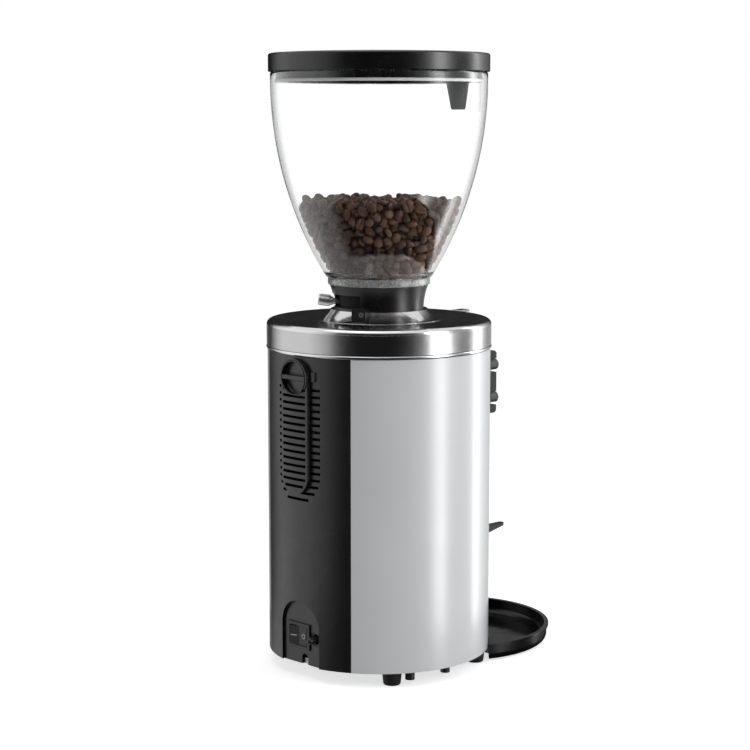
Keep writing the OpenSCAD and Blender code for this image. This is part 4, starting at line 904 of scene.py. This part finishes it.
latch_low, latch_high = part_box("vent_latch")
latch_radius = (latch_high.x - latch_low.x) / 2
latch_centre = (latch_low + latch_high) / 2
face_y, cam_y = latch_high.y, latch_low.y
pocket_y, back_y = face_y - LATCH_POCKET, cam_y + KNOB_BACK
inner = latch_radius - LATCH_RIM
profile = [(KNOB_POLE, cam_y), (SPINDLE, cam_y), (SPINDLE, back_y), (latch_radius, back_y),
           (latch_radius, face_y - KNOB_SOFT), (latch_radius - KNOB_SOFT, face_y),
           (inner + 0.2 * MM, face_y), (inner, face_y - KNOB_SOFT),
           (inner - 0.2 * MM, pocket_y + 0.6 * MM), (inner - 0.8 * MM, pocket_y),
           (KNOB_POLE, pocket_y)]
points, faces = [], []
for i in range(LATCH_STEPS):
    a = 2 * math.pi * i / LATCH_STEPS
    points += [(latch_centre.x + r * math.cos(a), y, latch_centre.z + r * math.sin(a))
               for r, y in profile]
count = len(profile)
for i in range(LATCH_STEPS):
    near, far = i * count, (i + 1) % LATCH_STEPS * count
    faces += [(near + j, near + j + 1, far + j + 1, far + j)[::-1] for j in range(count - 1)]


def bar(low, high, edge):
    """Points and faces of a bar whose long edges at its outer face are cut by edge."""
    section = [(low[2], low[1]), (low[2], high[1] - edge), (low[2] + edge, high[1]),
               (high[2] - edge, high[1]), (high[2], high[1] - edge), (high[2], low[1])]
    ends = [(x, y, z) for x in (low[0], high[0]) for z, y in section]
    n = len(section)
    sides = [(j, n + j, n + (j + 1) % n, (j + 1) % n) for j in range(n)]
    return ends, sides + [tuple(range(n)), tuple(range(2 * n - 1, n - 1, -1))]


x, z = latch_centre.x, latch_centre.z
grip = ((x - inner, pocket_y - BAR_ROOT, z - LATCH_BAR / 2),
        (x + inner, face_y - BAR_SINK, z + LATCH_BAR / 2), BAR_EDGE)
cam = ((x - CAM_WIDTH / 2, cam_y, z - CAM_LENGTH / 2),
       (x + CAM_WIDTH / 2, cam_y + CAM_THICK, z + CAM_LENGTH / 2), CAM_EDGE)
for low, high, edge in (grip, cam):
    more_points, more_faces = bar(low, high, edge)
    faces += [tuple(v + len(points) for v in face) for face in more_faces]
    points += more_points
knob = add_piece("latch_knob", points, faces, "vent_latch", "black_cover")
knob.data.set_sharp_from_angle(angle=SHARP)
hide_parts("vent_latch")
print("latch knob of", len(faces), "faces")

# %% [markdown]
# The rocker carries the two usual marks, a bar for on and a ring for off, printed on its
# two halves. Each is a thin piece that lies on the rocker and tips with it, so it needs
# the rocker's pivot and tilt.

# %% Print the rocker's marks
ROCKER_TILT = math.radians(9)
ROCKER_RISE = 4.6 * MM
ROCKER_PIVOT = 8.6 * MM
MARK_LIFT = 0.12 * MM

switch_low, switch_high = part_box("switch_frame")
pivot = (switch_low + switch_high) / 2
pivot.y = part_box("rear_panel")[1].y - ROCKER_PIVOT
crest = pivot + Vector((-math.sin(ROCKER_TILT), math.cos(ROCKER_TILT), 0)) * ROCKER_RISE


def mark(name, outline, hole, side):
    """Thin printed mark on the rocker's face; side 1 is its raised half and -1 its low one."""
    tilt = 2 * ROCKER_TILT if side > 0 else 0.0
    across = Vector((math.cos(tilt), math.sin(tilt), 0)) * side
    out = Vector((-math.sin(tilt), math.cos(tilt), 0))
    points = [crest + across * u + Vector((0, 0, v)) + out * lift
              for lift in (-MARK_LIFT, MARK_LIFT) for loop in (outline, hole) for u, v in loop]
    n = len(outline)
    faces = []
    for j in range(n):
        k = (j + 1) % n
        faces += [(j, k, 2 * n + k, 2 * n + j), (n + k, n + j, 3 * n + j, 3 * n + k),
                  (2 * n + j, 2 * n + k, 3 * n + k, 3 * n + j)]
    if side > 0:
        faces = [face[::-1] for face in faces]
    return add_piece(name, points, faces, "switch_rocker", "mark_white", smooth=False)


BAR_LONG, BAR_WIDE = 6.0 * MM, 0.9 * MM
BAR_CORE = 0.05
RING_RADIUS, RING_STROKE = 2.1 * MM, 0.75 * MM
RING_STEPS = 40
MARK_REACH = 5.2 * MM


def bar_outline(share):
    """The bar's four corners, or those of a smaller bar in it."""
    return [(MARK_REACH + BAR_LONG * x * share, BAR_WIDE * y * share)
            for x, y in ((-0.5, -0.5), (0.5, -0.5), (0.5, 0.5), (-0.5, 0.5))]


def ring_outline(radius):
    """A circle of points on the low half."""
    turns = [2 * math.pi * i / RING_STEPS for i in range(RING_STEPS)]
    return [(MARK_REACH + radius * math.cos(t), radius * math.sin(t)) for t in turns]


mark("mark_on", bar_outline(1), bar_outline(BAR_CORE), 1)
mark("mark_off", ring_outline(RING_RADIUS), ring_outline(RING_RADIUS - RING_STROKE), -1)
print("rocker pivot at", [round(v, 4) for v in pivot])

# %% [markdown]
# ## Beans
# The hopper is partly full. Rigid body physics could drop the beans in, but slowly. Here
# they are scattered at random in the bowl's space and then pushed apart, again and again,
# until each has its own room. That packs them as tightly and takes seconds.

# %% Pack the beans
BEAN_LENGTH = 9.6 * MM
BEAN_WIDTH = 7.9 * MM
BEAN_THICK = 5.6 * MM
BEAN_ROOM = 3.75 * MM
BEAN_COUNT = 1760
HEAP_LIFT = 3.2 * MM
HEAP_LOWER = 2.5 * MM
PUSH_SHARE = 0.7
SINK = 0.00004
ROUNDS, QUICK_ROUNDS = 45, 12
TOUCHING = 1e-9
SEED = 7

beans_low, beans_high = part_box("bean_fill")
heap_base = bowl_z + HEAP_LIFT
heap_top = beans_high.z - HEAP_LOWER
random_beans = np.random.default_rng(SEED)


def scatter(count):
    """Random places in the bowl, as many at each height as it has room for."""
    found = []
    while len(found) < count:
        z = random_beans.uniform(heap_base, heap_top)
        r = wall_radius(z, GLASS_WALL) - BEAN_ROOM
        x, y = random_beans.uniform(-bowl_radius, bowl_radius, 2)
        if x * x + y * y < r * r:
            found.append((x, y, z))
    return np.array(found)


def settle(places, rounds):
    """Pushes places apart until they are two rooms from each other, inside the bowl."""
    for _ in range(rounds):
        tree = KDTree(len(places))
        for i, p in enumerate(places):
            tree.insert(p, i)
        tree.balance()
        push = np.zeros_like(places)
        for i, p in enumerate(places):
            for near, j, distance in tree.find_range(p, 2 * BEAN_ROOM):
                if j > i and distance > TOUCHING:
                    gap = (places[i] - places[j]) / distance
                    share = 0.5 * (2 * BEAN_ROOM - distance)
                    push[i] += gap * share
                    push[j] -= gap * share
        places = places + push * PUSH_SHARE
        places[:, 2] -= SINK
        radius = np.hypot(places[:, 0], places[:, 1])
        wall = np.array([wall_radius(z, GLASS_WALL) for z in places[:, 2]]) - BEAN_ROOM
        keep = np.minimum(1, wall / np.maximum(radius, TOUCHING))
        places[:, 0] *= keep
        places[:, 1] *= keep
        places[:, 2] = np.clip(places[:, 2], heap_base, heap_top)
    return places


places = settle(scatter(BEAN_COUNT), ROUNDS)
print(len(places), "beans packed")

# %% [markdown]
# One bean is half an egg with a crease along its flat side. Its skin is a grid: sections
# across the bean, shrinking to its ends, with the crease pressed into each and bent a
# little to an S.

# %% Model a bean
STATIONS = 9
FLATNESS = 0.62
BLUNTNESS = 0.85
CREASE_BEND = 0.06
CREASE = (0.0, 0.12)
CREASED_SIDE = ((-0.72, -0.30), (-0.20, -0.36), CREASE, (0.20, -0.36), (0.72, -0.30))


def bean_grid(stations):
    """Points and faces of one bean of unit length, width and thickness."""
    back = [(math.cos(math.radians(a)), math.sin(math.radians(a))) for a in range(0, 181, 30)]
    section = back + list(CREASED_SIDE)
    points = [(-0.5, 0.0, 0.0)]
    for i in range(stations):
        t = math.pi * (i + 0.75) / (stations + 0.5)
        size = math.sin(t) ** BLUNTNESS
        bend = CREASE_BEND * math.sin(2 * t)
        for y, z in section:
            depth = z if z != CREASE[1] else z * min(1.0, 1.6 * size) - 0.30 * (1 - size)
            aside = bend if abs(y) < 0.3 and z < 0.2 else 0
            points.append((-0.5 * math.cos(t), (0.5 * y + aside) * size, FLATNESS * depth * size))
    points.append((0.5, 0.0, 0.0))
    n = len(section)
    faces = [(0, 1 + (j + 1) % n, 1 + j) for j in range(n)]
    for i in range(stations - 1):
        a, b = 1 + i * n, 1 + (i + 1) * n
        faces += [(a + j, a + (j + 1) % n, b + (j + 1) % n, b + j) for j in range(n)]
    last = 1 + (stations - 1) * n
    faces += [(last + j, last + (j + 1) % n, len(points) - 1) for j in range(n)]
    return np.array(points), faces


bean_points, bean_faces = bean_grid(STATIONS)
print("a bean has", len(bean_points), "points")

# %% [markdown]
# Beans at the wall lie with their backs against it and those on top lie mostly flat, while
# inside the heap they point anywhere. Only those near the glass and the top are made,
# because no one sees the rest. All are one mesh, with each bean's roast on its points.

# %% Lay a bean
TURNED_OVER = 0.22
SHOWN_DEPTH = 13.5 * MM
SHOWN_TOP = 11.0 * MM


def lie(normal, wobble):
    """Rotation that lays a bean's back or flat side along a surface, tilted by chance."""
    if random_beans.random() < TURNED_OVER:
        normal = -normal
    normal = (normal + Vector(random_beans.normal(0, wobble, 3))).normalized()
    spin = Matrix.Rotation(random_beans.uniform(0, 2 * math.pi), 3, "Z")
    return normal.to_track_quat("Z", "Y").to_matrix() @ spin


def visible_beans(places):
    """The beans within reach of the eye, near the wall or the top, and how deep they lie."""
    shown = []
    for x, y, z in places:
        inside = wall_radius(z, GLASS_WALL) - math.hypot(x, y)
        if inside < SHOWN_DEPTH or z > heap_top - SHOWN_TOP:
            shown.append((Vector((x, y, z)), inside))
    return shown


print(len(visible_beans(places)), "beans will show")

# %% Pour the beans
AT_WALL = 5.5 * MM
ON_TOP = 5.0 * MM
WALL_WOBBLE, TOP_WOBBLE, HEAP_WOBBLE = 0.45, 0.55, 0.1
LEAN = 0.35
SIZES = (0.86, 1.08)
UNEVEN_TOP = (-1.5, 2.0)
ROAST_RANGE = (0.15, 0.75)
GLASS_GAP = 0.15 * MM

points, faces, roast = [], [], []
for place, inside in visible_beans(places):
    outward = Vector((place.x, place.y, -LEAN * math.hypot(place.x, place.y))).normalized()
    topmost = place.z > heap_top - ON_TOP
    if inside < AT_WALL:
        turn = lie(outward, WALL_WOBBLE)
    elif topmost:
        turn = lie(Vector((0, 0, 1)), TOP_WOBBLE)
    else:
        turn = lie(Vector(random_beans.normal(0, 1, 3)).normalized(), HEAP_WOBBLE)
    size = np.array((BEAN_LENGTH, BEAN_WIDTH, BEAN_THICK)) * random_beans.uniform(*SIZES)
    grown = bean_points * size @ np.array(turn).T
    centre = np.array(place + AXIS)
    if topmost:
        centre[2] += random_beans.uniform(*UNEVEN_TOP) * MM
    reach = np.hypot(*(grown + np.array(place))[:, :2].T)
    limit = np.array([wall_radius(z, GLASS_WALL) for z in (grown[:, 2] + centre[2])])
    over = max(0.0, float((reach - limit).max()) + GLASS_GAP)
    if over:
        centre -= np.array(outward) * over
    faces += [tuple(v + len(points) for v in face) for face in bean_faces]
    points += (grown + centre).tolist()
    roast += [random_beans.uniform(*ROAST_RANGE)] * len(bean_points)
beans = add_piece("coffee_beans", points, faces, "hopper", "roasted_beans")
beans.data.attributes.new("roast", "FLOAT", "POINT").data.foreach_set("value", roast)
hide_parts("bean_fill")
print(len(roast) // len(bean_points), "beans shown,", len(faces), "faces")

# %% [markdown]
# A heap with only its outer beans would let light through. A core, lathed to the bowl's shape a
# little further in, stands for the beans inside and stops that light. It takes roast 0, darker
# than any bean, so the gaps between the outer beans show painted shade.

# %% Fill the heap's core
CORE_INSET = 9.5 * MM
CORE_DEPTH = 8.0 * MM

core_top = heap_top - CORE_DEPTH
core_low = beans_low.z + 1.0 * MM
core_radius = throat_radius - 1.5 * MM
core_wall = [(wall_radius(z, GLASS_WALL) - CORE_INSET, z)
             for z in np.linspace(bowl_z + 5 * MM, core_top, 12)]
core = lathe("bean_core_painted_shade", [(POLE, core_low), (core_radius, core_low),
                           (core_radius, bowl_z + 2 * MM)] + core_wall + [(POLE, core_top)],
             "hopper", "roasted_beans", steps=96)
# Roast 0 paints the core darker than any bean: painted shade between the outer beans.
core.data.attributes.new("roast", "FLOAT", "POINT").data.foreach_set(
    "value", [0.0] * len(core.data.vertices))
print("core filled")
